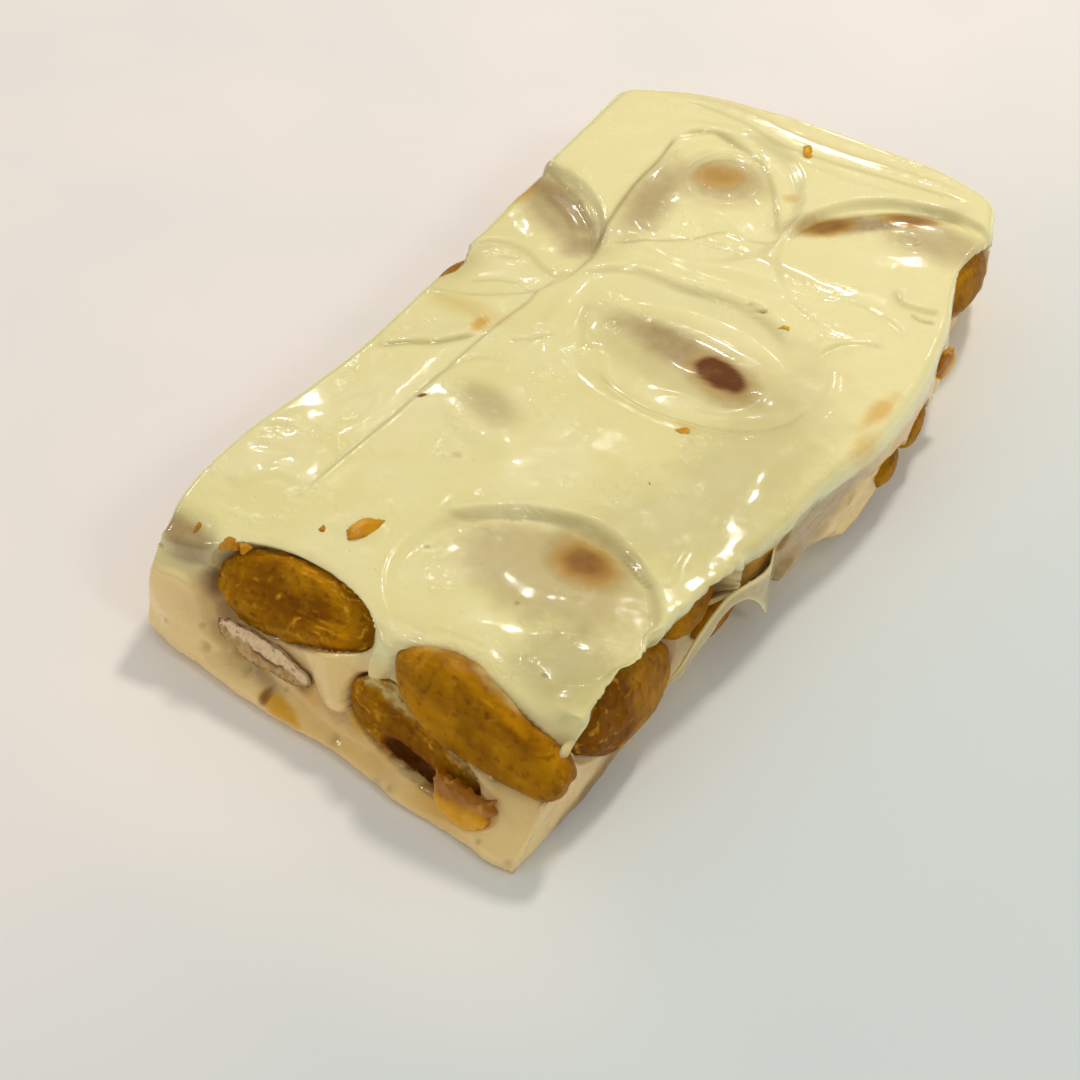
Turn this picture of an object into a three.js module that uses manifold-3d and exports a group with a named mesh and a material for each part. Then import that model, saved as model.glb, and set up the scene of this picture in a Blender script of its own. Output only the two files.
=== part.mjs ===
// A bar of soft almond nougat, cut from a slab: cream-coloured nougat with a sticky, folded top,
// a slanting cut at the near end, a lip that hangs over the right-hand side, and whole, halved
// and chipped roasted almonds that the cuts laid open.
//
// Lengths are millimetres. +X is right, +Y runs along the bar to the far end, +Z is up. The sizes
// are written on the slab's own axes, and the last step moves the middle of the bar's box on the
// table to the origin.

import * as THREE from 'three';
import { mergeGeometries, mergeVertices } from 'three/addons/utils/BufferGeometryUtils.js';
import Module from 'manifold-3d';

const wasm = await Module();
wasm.setup();

// ---------------------------------------------------------------- driving dimensions

const HEIGHT = 13.5;                 // table to the plain part of the top
const SOFT_EDGE = 1.8;               // radius of the rounded upper edge
const GAP = 0.45;                    // clearance between an almond and its bed
const SLAB = { width: 48, length: 90 };
const CELLS = { across: 28, lengthwise: 50, up: 7 };
const EDGE_CROWDING = 0.3;           // how much closer the cells lie near the edges

// Outline of the upper edge, each side from its first corner to its second.
const RIM = {
  near: [[-22.8, -44.4], [-15, -43.2], [-7, -43.2], [1, -43.8], [9, -43.7], [17, -43.5], [24, -43.7]],
  far: [[-24.4, 42.4], [-16, 46.6], [-8, 48.1], [0, 48.5], [8, 48.3], [16, 47.8], [23.4, 45.4]],
  left: [[-22.8, -44.4], [-24.3, -37], [-24.2, -29.5], [-23.1, -21], [-22.3, -13], [-22.2, -4],
    [-22.6, 5], [-23.2, 15], [-23.4, 25], [-23.8, 34], [-24.4, 42.4]],
  right: [[24, -43.7], [23.8, -36], [23.6, -29], [25.2, -21], [26.6, -12], [27.2, -4],
    [28.8, 5], [28.9, 14], [27.6, 23], [25.2, 31], [25.3, 39], [23.4, 45.4]],
};

// Outline of the foot on the table.
const FOOT = {
  near: [[-24.4, -46.6], [-17, -48], [-9, -49.2], [0, -49.4], [8, -51], [15, -51.8], [21.8, -52.3]],
  far: [[-23.9, 42], [-8, 47.2], [8, 47.6], [22.6, 45.2]],
  left: [[-24.4, -46.6], [-23.8, -24], [-22.8, -2], [-23.4, 20], [-23.9, 42]],
  right: [[21.8, -52.3], [22.7, -41], [22.6, -30], [22.5, -19], [22.6, -9], [24.6, 2],
    [25.6, 13], [25, 24], [23.8, 35], [22.6, 45.2]],
};

// How far above the table the overhanging lip of the right-hand side ends, from near to far.
const LIP_END = [[-44, 9.5], [-26, 9.5], [-17, 6.6], [-10, 5.2], [0, 2.6], [20, 2.2], [30, 6], [46, 5]];
const LIP_TURN = 1.1;                // height over which the lip turns under
const LIP_FADE = 0.06;               // share of the side over which the lip fades at its corners

// Soft shapes of the top. Ellipses are { at, size (half axes), turn (degrees), ... }.
const MOUNDS = [
  { at: [7.5, 4], size: [10.5, 3.6], turn: -6, rise: 1.1 },       // almond under the middle
  { at: [11.5, -29], size: [10, 5.2], turn: 4, rise: 1 },         // almond under the near right
  { at: [-4, 31.5], size: [5.5, 7], turn: 12, rise: 1 },          // almond under the far left
  { at: [17, 33.5], size: [8, 4.5], turn: 28, rise: 0.5 },        // almond under the far right
  { at: [-17, 15.5], size: [6.5, 3.4], turn: -32, rise: 0.5 },    // almond under the left fold
  { at: [-5, -15.5], size: [6, 3], turn: -20, rise: 0.35 },
  { at: [18.5, -38.5], size: [3.4, 3], turn: 0, rise: 0.45 },
  { at: [3, 19], size: [12, 2.6], turn: 5, rise: 0.6 },           // fold between the dips
  { at: [-7, 3.5], size: [1.6, 6], turn: 8, rise: 0.35 },
  { at: [-18, -29], size: [6, 9], turn: 0, rise: 0.3 },
];
// Shelves drop inside an ellipse. The drop is sharp on the side that `to` points at and runs out
// on the other side.
const SHELVES = [
  { at: [7, 4], size: [14, 9.2], turn: -4, drop: 1.2, soft: 0.3, to: [0, 0] },
  { at: [11, -33.2], size: [12.5, 10.6], turn: 2, drop: 1.2, soft: 0.14, to: [0, 1] },
  { at: [-2.8, 29], size: [8.6, 12.4], turn: 14, drop: 1.3, soft: 0.2, to: [0.1, 0.5] },
  { at: [20, 27.6], size: [13.6, 12.8], turn: 0, drop: 1.6, soft: 0.12, to: [-0.5, 0.86] },
  { at: [-23.4, 11.4], size: [13.8, 12.8], turn: 0, drop: 1.5, soft: 0.12, to: [0.5, 0.86] },
];
const BULGE_SLOPE = { from: 21, reach: 9, drop: 1.5, middle: 5, length: 24 };   // right shoulder

// Almonds: middle, half sizes (length, breadth, thickness), the way the length runs and the way
// the broad side faces. A `shave` also clears the nougat in front of the open side.
const ALMONDS = {
  almond_end_flat: { at: [-7.6, -42.1, 9.7], half: [9.1, 3.8, 2.6], along: [1, 0.04, 0.04],
    facing: [0, -0.69, 0.72], shave: 1.1 },
  almond_end_cut: { at: [-9, -46.6, 6.1], half: [5.6, 1.4, 0.8], along: [0.99, -0.06, -0.11],
    facing: [0, -0.87, 0.5] },
  almond_end_corner: { at: [14.5, -45, 9.7], half: [9.9, 3.4, 2.9], along: [0.975, -0.1, -0.2],
    facing: [0, -0.87, 0.5] },
  almond_end_low: { at: [8.3, -46.4, 5.5], half: [7.2, 2.35, 1.8], along: [0.96, -0.12, -0.26],
    facing: [0, -0.87, 0.5] },
  almond_right_near: { at: [21.5, -33.2, 6.6], half: [7.8, 4.2, 2.7], along: [0.03, 0.98, -0.15],
    facing: [0.92, 0, 0.38] },
  almond_right_second: { at: [22.2, -22.6, 9.3], half: [4.3, 2.1, 1.9], along: [0, 0.98, 0.1],
    facing: [0.95, 0, 0.3] },
  almond_right_low: { at: [22.7, -16.6, 4.6], half: [5, 1.9, 1.6], along: [0, 0.98, 0.15],
    facing: [1, 0, 0.1] },
  almond_right_far: { at: [23.4, 35.8, 8.6], half: [6.2, 2.9, 2.4], along: [0, 0.97, -0.12],
    facing: [0.95, 0, 0.3] },
  almond_bit_far: { at: [27.6, 15, 5.4], half: [2.9, 1.7, 1.5], along: [0, 0.95, 0.3],
    facing: [0.95, 0, 0.3] },
  almond_bit_middle: { at: [28, 8.2, 5.2], half: [2.7, 1.5, 1.4], along: [0, 0.97, 0.2],
    facing: [0.95, 0, 0.3] },
  almond_left_top: { at: [-21.2, 3.6, 10.1], half: [4.8, 2.6, 1.9], along: [0.03, 0.99, 0],
    facing: [-0.86, 0, 0.5] },
  almond_left_near: { at: [-22.1, -24, 6.4], half: [8.6, 3.6, 2.3], along: [0, 0.98, 0.14],
    facing: [-1, 0, 0] },
  almond_left_far: { at: [-22.3, 26, 6.2], half: [8.2, 3.4, 2.2], along: [0, 0.97, -0.2],
    facing: [-1, 0, 0.1] },
  almond_far_left: { at: [-9.5, 46.2, 6.6], half: [8.4, 3.6, 2.4], along: [0.98, 0.12, 0.1],
    facing: [0, 1, 0] },
  almond_far_right: { at: [11.5, 46.6, 6.8], half: [8, 3.4, 2.3], along: [0.98, -0.04, -0.16],
    facing: [0, 1, 0] },
};
const TAPER = 0.16;                  // how much slimmer an almond is at its tip than at its butt
const FULLNESS = 0.85;               // below 1 rounds the ends out
const BOXINESS = 0.8;                // below 1 flattens the broad sides
const ALMOND_CELLS = { round: 12, lengthwise: 9 };
const SHAVE = { reach: 8, share: 0.94 };   // depth and share of the almond's outline that is cleared

// Chips are flat broken pieces: an outline on the broad side, and a thickness.
const CHIPS = {
  chip_end: { at: [15.1, -50.25, 2.95], along: [1, -0.04, 0.02], facing: [0, -0.86, 0.5], thick: 1.1,
    outline: [[-3, 1.6], [-0.8, 0.9], [1.6, 1.5], [3.2, 1.3],
      [2.8, -0.6], [0.9, -1.7], [-1.9, -1.3], [-3.1, -0.2]] },
  chip_right: { at: [28, 22.6, 8.2], along: [0, 0.95, 0.3], facing: [0.95, 0, 0.3], thick: 1,
    outline: [[-1.8, 0.7], [0.4, 1.1], [1.8, 0.5], [1.5, -0.8], [-0.5, -1], [-1.7, -0.5]] },
};
const CHIP_REACH = 1;                // least distance from a chip's middle to its edge

// Crumbs and flakes of almond that stand out of the nougat: middle, half sizes and turn.
const CRUMBS = [
  { at: [-6.4, -33.6], half: [1.1, 2.5], turn: -8 },
  { at: [1.8, 41.8], half: [0.8, 1.8], turn: 28 },
  { at: [13.8, 12.8], half: [1, 0.8], turn: 20 },
  { at: [12.3, -6.5], half: [1.1, 0.8], turn: -10 },
  { at: [13.4, -14.4], half: [0.5, 0.8], turn: 0 },
  { at: [-9.2, -36.3], half: [0.6, 0.9], turn: 30 },
];
const CRUMB_RISE = 0.35;             // how far a crumb's back stands above the nougat
const CRUMB_DEPTH = 0.6;             // half of its thickness

// Runs of nougat down the cut end, and the drop under the lip: middle and half sizes.
const RUNS = [
  { at: [-0.9, -46.1, 6.9], half: [1.9, 0.9, 2.5] },
  { at: [3.4, -44.6, 10.6], half: [1.3, 1, 2.6] },
  { at: [26.5, -15.1, 5.8], half: [0.9, 1.4, 2.1] },
];
const LUMP_CELLS = { round: 8, lengthwise: 5 };

const COLOURS = {
  nougat: { color: 0xe6d69a, roughness: 0.35 },
  almond: { color: 0x8a5a14, roughness: 0.45 },
  cutAlmond: { color: 0xcdb58a, roughness: 0.8 },
  chip: { color: 0xb5780f, roughness: 0.3 },
};

// ---------------------------------------------------------------- small helpers

const mix = (from, to, share) => from + (to - from) * share;
const clamp = (value) => Math.min(Math.max(value, 0), 1);
const smooth = (value) => clamp(value) ** 2 * (3 - 2 * clamp(value));
const curve = (points) => new THREE.SplineCurve(points.map(([x, y]) => new THREE.Vector2(x, y)));

/** Value at a station of a list of [station, value] pairs, with soft turns between them. */
function readAt(pairs, station) {
  const after = Math.max(pairs.findIndex(([at]) => at >= station), 0);
  if (after === 0) return pairs[station > pairs[0][0] ? pairs.length - 1 : 0][1];
  const [[fromAt, from], [toAt, to]] = [pairs[after - 1], pairs[after]];
  return mix(from, to, smooth((station - fromAt) / (toAt - fromAt)));
}

/** Place of (x, y) in an ellipse's own axes, each divided by its half size. */
function ellipsePlace({ at, size, turn }, x, y) {
  const angle = THREE.MathUtils.degToRad(turn);
  const [dx, dy] = [x - at[0], y - at[1]];
  return [
    (dx * Math.cos(angle) + dy * Math.sin(angle)) / size[0],
    (dy * Math.cos(angle) - dx * Math.sin(angle)) / size[1],
  ];
}

function toManifold(geometry) {
  const bare = geometry.clone();
  bare.deleteAttribute('normal');
  bare.deleteAttribute('uv');
  const merged = mergeVertices(bare, 1e-5);
  return new wasm.Manifold(new wasm.Mesh({
    numProp: 3,
    vertProperties: new Float32Array(merged.attributes.position.array),
    triVerts: new Uint32Array(merged.index.array),
  }));
}

function fromManifold(solid) {
  const mesh = solid.getMesh();
  const geometry = new THREE.BufferGeometry();
  geometry.setAttribute('position', new THREE.BufferAttribute(mesh.vertProperties, 3));
  geometry.setIndex(new THREE.BufferAttribute(mesh.triVerts, 1));
  geometry.computeVertexNormals();
  return geometry;
}

/** Matrix that lays local Y along a piece's length and local Z out of its broad side. */
function placement({ at, along: length, facing }) {
  const up = new THREE.Vector3(...length).normalize();
  const right = new THREE.Vector3().crossVectors(up, new THREE.Vector3(...facing)).normalize();
  const out = new THREE.Vector3().crossVectors(right, up);
  return new THREE.Matrix4().makeBasis(right, up, out).setPosition(...at);
}

// ---------------------------------------------------------------- nougat

const rim = Object.fromEntries(Object.entries(RIM).map(([side, points]) => [side, curve(points)]));
const foot = Object.fromEntries(Object.entries(FOOT).map(([side, points]) => [side, curve(points)]));

/** Coons patch: fills the four edges of an outline for u from left to right, v from near to far. */
function fill(edges, u, v) {
  const [near, far] = [edges.near.getPoint(u), edges.far.getPoint(u)];
  const [left, right] = [edges.left.getPoint(v), edges.right.getPoint(v)];
  const corner = (cu, cv) => (cv ? edges.far : edges.near).getPoint(cu);
  const axis = (key) => mix(near[key], far[key], v) + mix(left[key], right[key], u)
    - mix(mix(corner(0, 0)[key], corner(1, 0)[key], u), mix(corner(0, 1)[key], corner(1, 1)[key], u), v);
  return [axis('x'), axis('y')];
}

/** Height of the top: the plain height, the soft shapes and the slope of the right shoulder. */
function topHeight(x, y) {
  let height = HEIGHT;
  for (const mound of MOUNDS) {
    const [a, b] = ellipsePlace(mound, x, y);
    height += mound.rise * Math.exp(-((a * a + b * b) ** 2));
  }
  for (const shelf of SHELVES) {
    const [a, b] = ellipsePlace(shelf, x, y);
    const oneSided = Math.hypot(...shelf.to) > 0;
    const slope = oneSided ? clamp(0.5 + 0.5 * (a * shelf.to[0] + b * shelf.to[1])) : 1;
    height -= shelf.drop * slope * smooth((1 - Math.hypot(a, b)) / shelf.soft + 0.5);
  }
  const lengthShare = Math.exp(-(((y - BULGE_SLOPE.middle) / BULGE_SLOPE.length) ** 2));
  return height - BULGE_SLOPE.drop * lengthShare * smooth((x - BULGE_SLOPE.from) / BULGE_SLOPE.reach);
}

/** Drop of the rounded upper edge, a quarter circle seen across the edge. */
function edgeDrop(u, v) {
  const toEdge = [Math.min(u, 1 - u) * SLAB.width, Math.min(v, 1 - v) * SLAB.length];
  const [a, b] = toEdge.map((distance) => clamp(1 - distance / SOFT_EDGE));
  return SOFT_EDGE * (1 - Math.sqrt(Math.max(0, 1 - a * a - b * b)));
}

/** A point of the nougat's skin, for u across, v along and w up, each from 0 to 1. */
function nougatPoint(u, v, w) {
  const [x1, y1] = fill(rim, u, v);
  const [x0, y0] = fill(foot, u, v);
  const z = w * (topHeight(x1, y1) - edgeDrop(u, v));
  const lip = smooth((z - readAt(LIP_END, y1)) / LIP_TURN + 0.5);
  const lipShare = u === 1 ? smooth(Math.min(v, 1 - v) / LIP_FADE) : 0;
  const share = mix(w, lip, lipShare * (w < 1 ? 1 : 0));
  return [mix(x0, x1, share), mix(y0, y1, share), z];
}

/** Share of the way across `count` cells, with the cells crowded at both ends. */
function crowded(cell, count) {
  const share = cell / count;
  return share - EDGE_CROWDING * Math.sin(2 * Math.PI * share) / (2 * Math.PI);
}

/** The skin of the bar: a box's grid laid out by nougatPoint, with one flat cap as its underside. */
function nougatBody() {
  const { across, lengthwise, up } = CELLS;
  const skin = new THREE.BoxGeometry(1, 1, 1, across, lengthwise, up);
  const underside = skin.groups.at(-1);
  skin.setIndex([...skin.index.array].slice(0, underside.start));
  const position = skin.attributes.position;
  const cell = (value, count) => Math.round((value + 0.5) * count);
  for (let i = 0; i < position.count; i += 1) {
    const u = crowded(cell(position.getX(i), across), across);
    const v = crowded(cell(position.getY(i), lengthwise), lengthwise);
    position.setXYZ(i, ...nougatPoint(u, v, cell(position.getZ(i), up) / up));
  }
  const steps = (count) => Array.from({ length: count }, (_, i) => i);
  const contour = [
    ...steps(across).map((i) => fill(foot, crowded(i, across), 0)),
    ...steps(lengthwise).map((i) => fill(foot, 1, crowded(i, lengthwise))),
    ...steps(across).map((i) => fill(foot, crowded(across - i, across), 1)),
    ...steps(lengthwise).map((i) => fill(foot, 0, crowded(lengthwise - i, lengthwise))),
  ];
  const cap = new THREE.ShapeGeometry(new THREE.Shape(contour.map(([x, y]) => new THREE.Vector2(x, y))));
  cap.setIndex([...cap.index.array].reverse());
  return toManifold(mergeGeometries([skin, cap]));
}

/** An ellipsoid of nougat or almond, placed as it is, to be joined to the bar. */
function lump(at, half, turn = 0) {
  const geometry = new THREE.SphereGeometry(1, LUMP_CELLS.round, LUMP_CELLS.lengthwise);
  geometry.scale(...half);
  geometry.rotateZ(THREE.MathUtils.degToRad(turn));
  geometry.translate(...at);
  return toManifold(geometry);
}

// ---------------------------------------------------------------- almonds and chips

/** An almond about its own middle: length on Y, breadth on X, thickness on Z. */
function almondGeometry([length, breadth, thickness]) {
  const geometry = new THREE.SphereGeometry(1, ALMOND_CELLS.round, ALMOND_CELLS.lengthwise);
  const position = geometry.attributes.position;
  const box = (value) => Math.sign(value) * Math.abs(value) ** BOXINESS;
  for (let i = 0; i < position.count; i += 1) {
    const y = position.getY(i);
    const girth = Math.hypot(position.getX(i), position.getZ(i));
    const slim = girth ** FULLNESS * (1 - TAPER * y);
    const [across, out] = girth > 1e-6 ? [position.getX(i) / girth, position.getZ(i) / girth] : [0, 0];
    position.setXYZ(i, breadth * slim * box(across), length * y, thickness * slim * box(out));
  }
  return geometry;
}

/** What an almond takes out of the nougat: itself with a gap, and what lies before its open side. */
function almondBed(almond) {
  const grown = almond.half.map((size) => size + GAP);
  let bed = toManifold(almondGeometry(grown).applyMatrix4(placement(almond)));
  if (almond.shave) {
    const clear = new THREE.CylinderGeometry(1, 1, SHAVE.reach, ALMOND_CELLS.round);
    clear.rotateX(Math.PI / 2);
    clear.scale(almond.half[1] * SHAVE.share, almond.half[0] * SHAVE.share, 1);
    clear.translate(0, 0, almond.shave + SHAVE.reach / 2);
    bed = bed.add(toManifold(clear.applyMatrix4(placement(almond))));
  }
  return bed;
}

/** A chip about its own middle, or the room for it, which is `grow` larger all round. */
function chipGeometry({ outline, thick }, grow = 0) {
  const shape = new THREE.Shape(outline.map(([x, y]) => new THREE.Vector2(-y, x)));
  const geometry = new THREE.ExtrudeGeometry(shape, { depth: thick, bevelEnabled: false });
  geometry.translate(0, 0, -thick / 2);
  const wider = 1 + grow / CHIP_REACH;
  return geometry.scale(wider, wider, 1 + (2 * grow) / thick);
}

// ---------------------------------------------------------------- assembly

const material = ({ color, roughness }) => new THREE.MeshStandardMaterial({ color, roughness, metalness: 0 });

function named(name, geometry, colours, matrix = new THREE.Matrix4()) {
  const mesh = new THREE.Mesh(geometry, material(colours));
  mesh.name = name;
  matrix.decompose(mesh.position, mesh.quaternion, mesh.scale);
  return mesh;
}

function nougat() {
  let body = nougatBody();
  for (const { at, half } of RUNS) body = body.add(lump(at, half));
  for (const { at, half, turn } of CRUMBS) {
    const middle = topHeight(...at) + CRUMB_RISE - CRUMB_DEPTH;
    body = body.add(lump([...at, middle], [...half, CRUMB_DEPTH], turn));
  }
  for (const almond of Object.values(ALMONDS)) body = body.subtract(almondBed(almond));
  for (const chip of Object.values(CHIPS)) {
    body = body.subtract(toManifold(chipGeometry(chip, GAP).applyMatrix4(placement(chip))));
  }
  return named('nougat', fromManifold(body), COLOURS.nougat);
}

const bar = new THREE.Group();
bar.add(nougat());
for (const [name, almond] of Object.entries(ALMONDS)) {
  const colours = name.endsWith('_cut') ? COLOURS.cutAlmond : COLOURS.almond;
  bar.add(named(name, almondGeometry(almond.half), colours, placement(almond)));
}
for (const [name, chip] of Object.entries(CHIPS)) {
  bar.add(named(name, chipGeometry(chip), COLOURS.chip, placement(chip)));
}

// The middle of the bar's box, on the table, is the origin.
const box = new THREE.Box3().setFromObject(bar, true);
const middle = box.getCenter(new THREE.Vector3());
bar.position.set(-middle.x, -middle.y, -box.min.z);
bar.updateMatrixWorld(true);

export default bar;
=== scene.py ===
"""Looks of a bar of soft almond nougat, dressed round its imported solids.

The nougat is one skin worked out on a grid: a warped box with mounds, shelves, creases and rings,
pressed back where an almond lies open. The almonds, chips, crumbs and the thin skirt are fine
shells of two parameters. Lengths are millimetres on the slab's own axes (+X right, +Y to the far end,
+Z up) and are moved to the frame, in metres, when a mesh is made.
"""

from __future__ import annotations

import logging
import math
from dataclasses import dataclass, field
from enum import Enum

import bpy
import numpy as np
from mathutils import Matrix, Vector


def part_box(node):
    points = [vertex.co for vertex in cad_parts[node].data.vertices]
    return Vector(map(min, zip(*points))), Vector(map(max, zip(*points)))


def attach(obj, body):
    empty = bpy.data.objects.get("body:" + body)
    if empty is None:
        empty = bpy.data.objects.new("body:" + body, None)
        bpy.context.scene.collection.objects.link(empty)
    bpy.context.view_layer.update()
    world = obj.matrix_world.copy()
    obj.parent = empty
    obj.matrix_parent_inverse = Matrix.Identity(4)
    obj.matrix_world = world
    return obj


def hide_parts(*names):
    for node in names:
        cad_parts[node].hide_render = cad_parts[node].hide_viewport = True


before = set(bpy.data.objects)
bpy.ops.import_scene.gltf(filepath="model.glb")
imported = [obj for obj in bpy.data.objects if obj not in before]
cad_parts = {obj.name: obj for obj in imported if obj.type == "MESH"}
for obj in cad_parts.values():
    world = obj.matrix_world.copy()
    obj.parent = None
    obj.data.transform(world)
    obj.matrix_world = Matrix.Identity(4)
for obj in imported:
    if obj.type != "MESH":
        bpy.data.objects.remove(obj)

Array = np.ndarray
Pair = tuple[float, float]
Triple = tuple[float, float, float]

LOG = logging.getLogger("nougat_bar")
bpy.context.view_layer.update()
BODY = "root"
MM = 0.001

# ---------------------------------------------------------------- driving dimensions of the slab

HEIGHT = 13.5                    # table to the plain part of the top
SOFT_EDGE = 1.8                  # radius of the rounded upper edge
THIN_EDGE = 0.8                  # radius of the upper edge where the lip is thin
FAR_EDGE = 1.2                   # how much larger the radius is at the far end
SLAB_WIDTH = 48.0
SLAB_LENGTH = 90.0
EDGE_CROWDING = 0.3              # how much closer the cells lie near the edges
LIP_TURN = 0.9                   # height over which the lip turns under
LIP_FADE = 0.06                  # share of the side over which the lip fades at its corners
FOOT_ROUND = 0.9                 # radius of the rounded foot
NEAR_FOOT_ROUND = 1.4            # the same at the near end

# Stations along the right-hand side: where its overhanging lip ends, and where its top layer does.
LIP_END = ((-44, 11.4), (-41, 12.2), (-36, 11.6), (-33, 12.3), (-26, 11.6), (-22, 10.6), (-19, 9.2),
           (-17, 7.4), (-15.6, 5.2), (-14.7, 3.4), (-13.6, 4.6), (-9.3, 4.8), (-6, 4.6), (-3.4, 3.3),
           (0.4, 1.8), (4, 3.2), (8, 5.4), (17, 5.6), (22, 4.6), (30, 6), (46, 5))
LAYER_END = ((-19, 13.2), (-16, 12.6), (-12, 11.2), (-6.4, 10.8), (-3.2, 10.6), (1.1, 9.2), (8.5, 7.2),
             (14, 5))


# ---------------------------------------------------------------- curves, fields and reliefs


def clamp(value: Array) -> Array:
    """Returns the value kept between 0 and 1."""
    return np.clip(value, 0.0, 1.0)


def smooth(value: Array) -> Array:
    """Returns the soft step 3t^2 - 2t^3 of the value kept between 0 and 1."""
    held = clamp(value)
    return held * held * (3.0 - 2.0 * held)


def mix(first: Array, second: Array, share: Array) -> Array:
    """Returns the blend of two values, all of the second at share 1."""
    return first + (second - first) * share


def unit(vector: Array) -> Array:
    """Returns the vectors of the last axis at length 1."""
    return vector / np.maximum(np.linalg.norm(vector, axis=-1, keepdims=True), 1e-12)


@dataclass(frozen=True)
class Spline:
    """A uniform Catmull-Rom curve through its points, in any number of axes."""

    points: tuple

    def at(self, share: Array) -> Array:
        """Reads the curve: the cubic whose slopes at a point are half the step past it.

        Args:
            share: places along the curve, 0 at the first point and 1 at the last.

        Returns:
            One row for each place.
        """
        knots = np.asarray(self.points, float)
        last = len(knots) - 1
        place = clamp(np.asarray(share, float)) * last
        cell = np.minimum(place.astype(int), last - 1)
        t = (place - cell)[..., None]
        before, start = knots[np.maximum(cell - 1, 0)], knots[cell]
        end, after = knots[cell + 1], knots[np.minimum(cell + 2, last)]
        leave, arrive = (end - before) / 2, (after - start) / 2
        return ((2 * start - 2 * end + leave + arrive) * t**3
                + (-3 * start + 3 * end - 2 * leave - arrive) * t**2 + leave * t + start)


@dataclass(frozen=True)
class Noise:
    """A soft random field: hashed values on a lattice, blended by a quintic, in octaves."""

    seed: int
    size: float
    octaves: int = 2

    STRIDES = (374761393, 668265263, 2147483647)
    FACTOR = 1274126177
    KEEP = 0xFFFFFFFF

    def _hash(self, cells: Array, layer: int) -> Array:
        """Scrambles lattice corners by multiplying, shifting and keeping 32 bits.

        Args:
            cells: rows of three whole numbers.
            layer: the octave.

        Returns:
            A value from -1 to 1 for each corner.
        """
        mixed = (cells @ np.array(self.STRIDES) + (self.seed + layer) * self.FACTOR) & self.KEEP
        mixed = ((mixed ^ (mixed >> 13)) * self.FACTOR) & self.KEEP
        mixed ^= mixed >> 16
        return mixed / self.KEEP * 2.0 - 1.0

    def at(self, points: Array) -> Array:
        """Reads the field.

        Args:
            points: rows of x, y and z in millimetres.

        Returns:
            One value from about -1 to 1 for each row.
        """
        total = np.zeros(len(points))
        for layer in range(self.octaves):
            scaled = points * (2**layer / self.size) + 17.0 * layer
            cells = np.floor(scaled).astype(np.int64)
            t = scaled - cells
            t = t**3 * (t * (t * 6 - 15) + 10)
            value = np.zeros(len(points))
            for corner in np.ndindex(2, 2, 2):
                step = np.array(corner)
                weight = np.prod(np.where(step, t, 1 - t), axis=1)
                value += weight * self._hash(cells + step, layer)
            total += value / 2**layer
        return total / (2 - 0.5 ** (self.octaves - 1))


def terraced(value: Array, levels: float) -> tuple[Array, Array]:
    """Turns a field into layers, as of torn flakes.

    Each whole step of value times levels is flat, with a soft rise in its last third.

    Args:
        value: the field.
        levels: how many layers a unit has.

    Returns:
        The layered field, and 1 on the layers' edges.
    """
    scaled = value * levels
    part = scaled - np.floor(scaled)
    return (np.floor(scaled) + smooth((part - 0.65) / 0.35)) / levels, np.exp(-(((part - 0.84) / 0.12) ** 2))


@dataclass(frozen=True)
class Oval:
    """An ellipse on a surface: middle, half axes and turn in degrees."""

    at: Pair
    size: Pair
    turn: float = 0.0

    def place(self, x: Array, y: Array) -> tuple[Array, Array]:
        """Works out the place in the oval's own axes, each divided by its half size.

        Args:
            x: places on the surface's first axis.
            y: places on its second axis.

        Returns:
            The shares across and along.
        """
        angle = math.radians(self.turn)
        dx, dy = x - self.at[0], y - self.at[1]
        across = (dx * math.cos(angle) + dy * math.sin(angle)) / self.size[0]
        along = (dy * math.cos(angle) - dx * math.sin(angle)) / self.size[1]
        return across, along

    def radius(self, x: Array, y: Array) -> Array:
        """Returns 0 at the middle and 1 on the outline."""
        return np.hypot(*self.place(x, y))


@dataclass(frozen=True)
class Mound(Oval):
    """A soft swelling: rise times e to minus the fourth power of the radius."""

    rise: float = 0.5

    def lift(self, x: Array, y: Array) -> Array:
        """Returns the height that it adds."""
        return self.rise * np.exp(-self.radius(x, y) ** 4)


@dataclass(frozen=True)
class Shelf(Oval):
    """A floor that drops inside an oval, sharply on the side that `to` points at."""

    drop: float = 1.2
    soft: float = 0.2
    to: Pair = (0.0, 0.0)

    def lift(self, x: Array, y: Array) -> Array:
        """Works out the floor's drop, softened over `soft` of the radius at the outline.

        Args:
            x: places across.
            y: places along.

        Returns:
            The height that it takes away, as a negative number.
        """
        across, along = self.place(x, y)
        sided = clamp(0.5 + 0.5 * (across * self.to[0] + along * self.to[1]))
        share = sided if math.hypot(*self.to) else 1.0
        return -self.drop * share * smooth((1 - np.hypot(across, along)) / self.soft + 0.5)


@dataclass(frozen=True)
class Ring(Oval):
    """A rim round an oval: rise times the bell of the distance to the outline, and a dimple inside."""

    rise: float = 0.12
    width: float = 0.35
    dimple: float = 0.0

    def lift(self, x: Array, y: Array) -> Array:
        """Works out the rim and the dimple.

        Args:
            x: places across.
            y: places along.

        Returns:
            The height that it adds.
        """
        radius = self.radius(x, y)
        away = (radius - 1) * min(self.size) / self.width
        return self.rise * np.exp(-(away**2)) - self.dimple * clamp(1 - radius**2)


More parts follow.
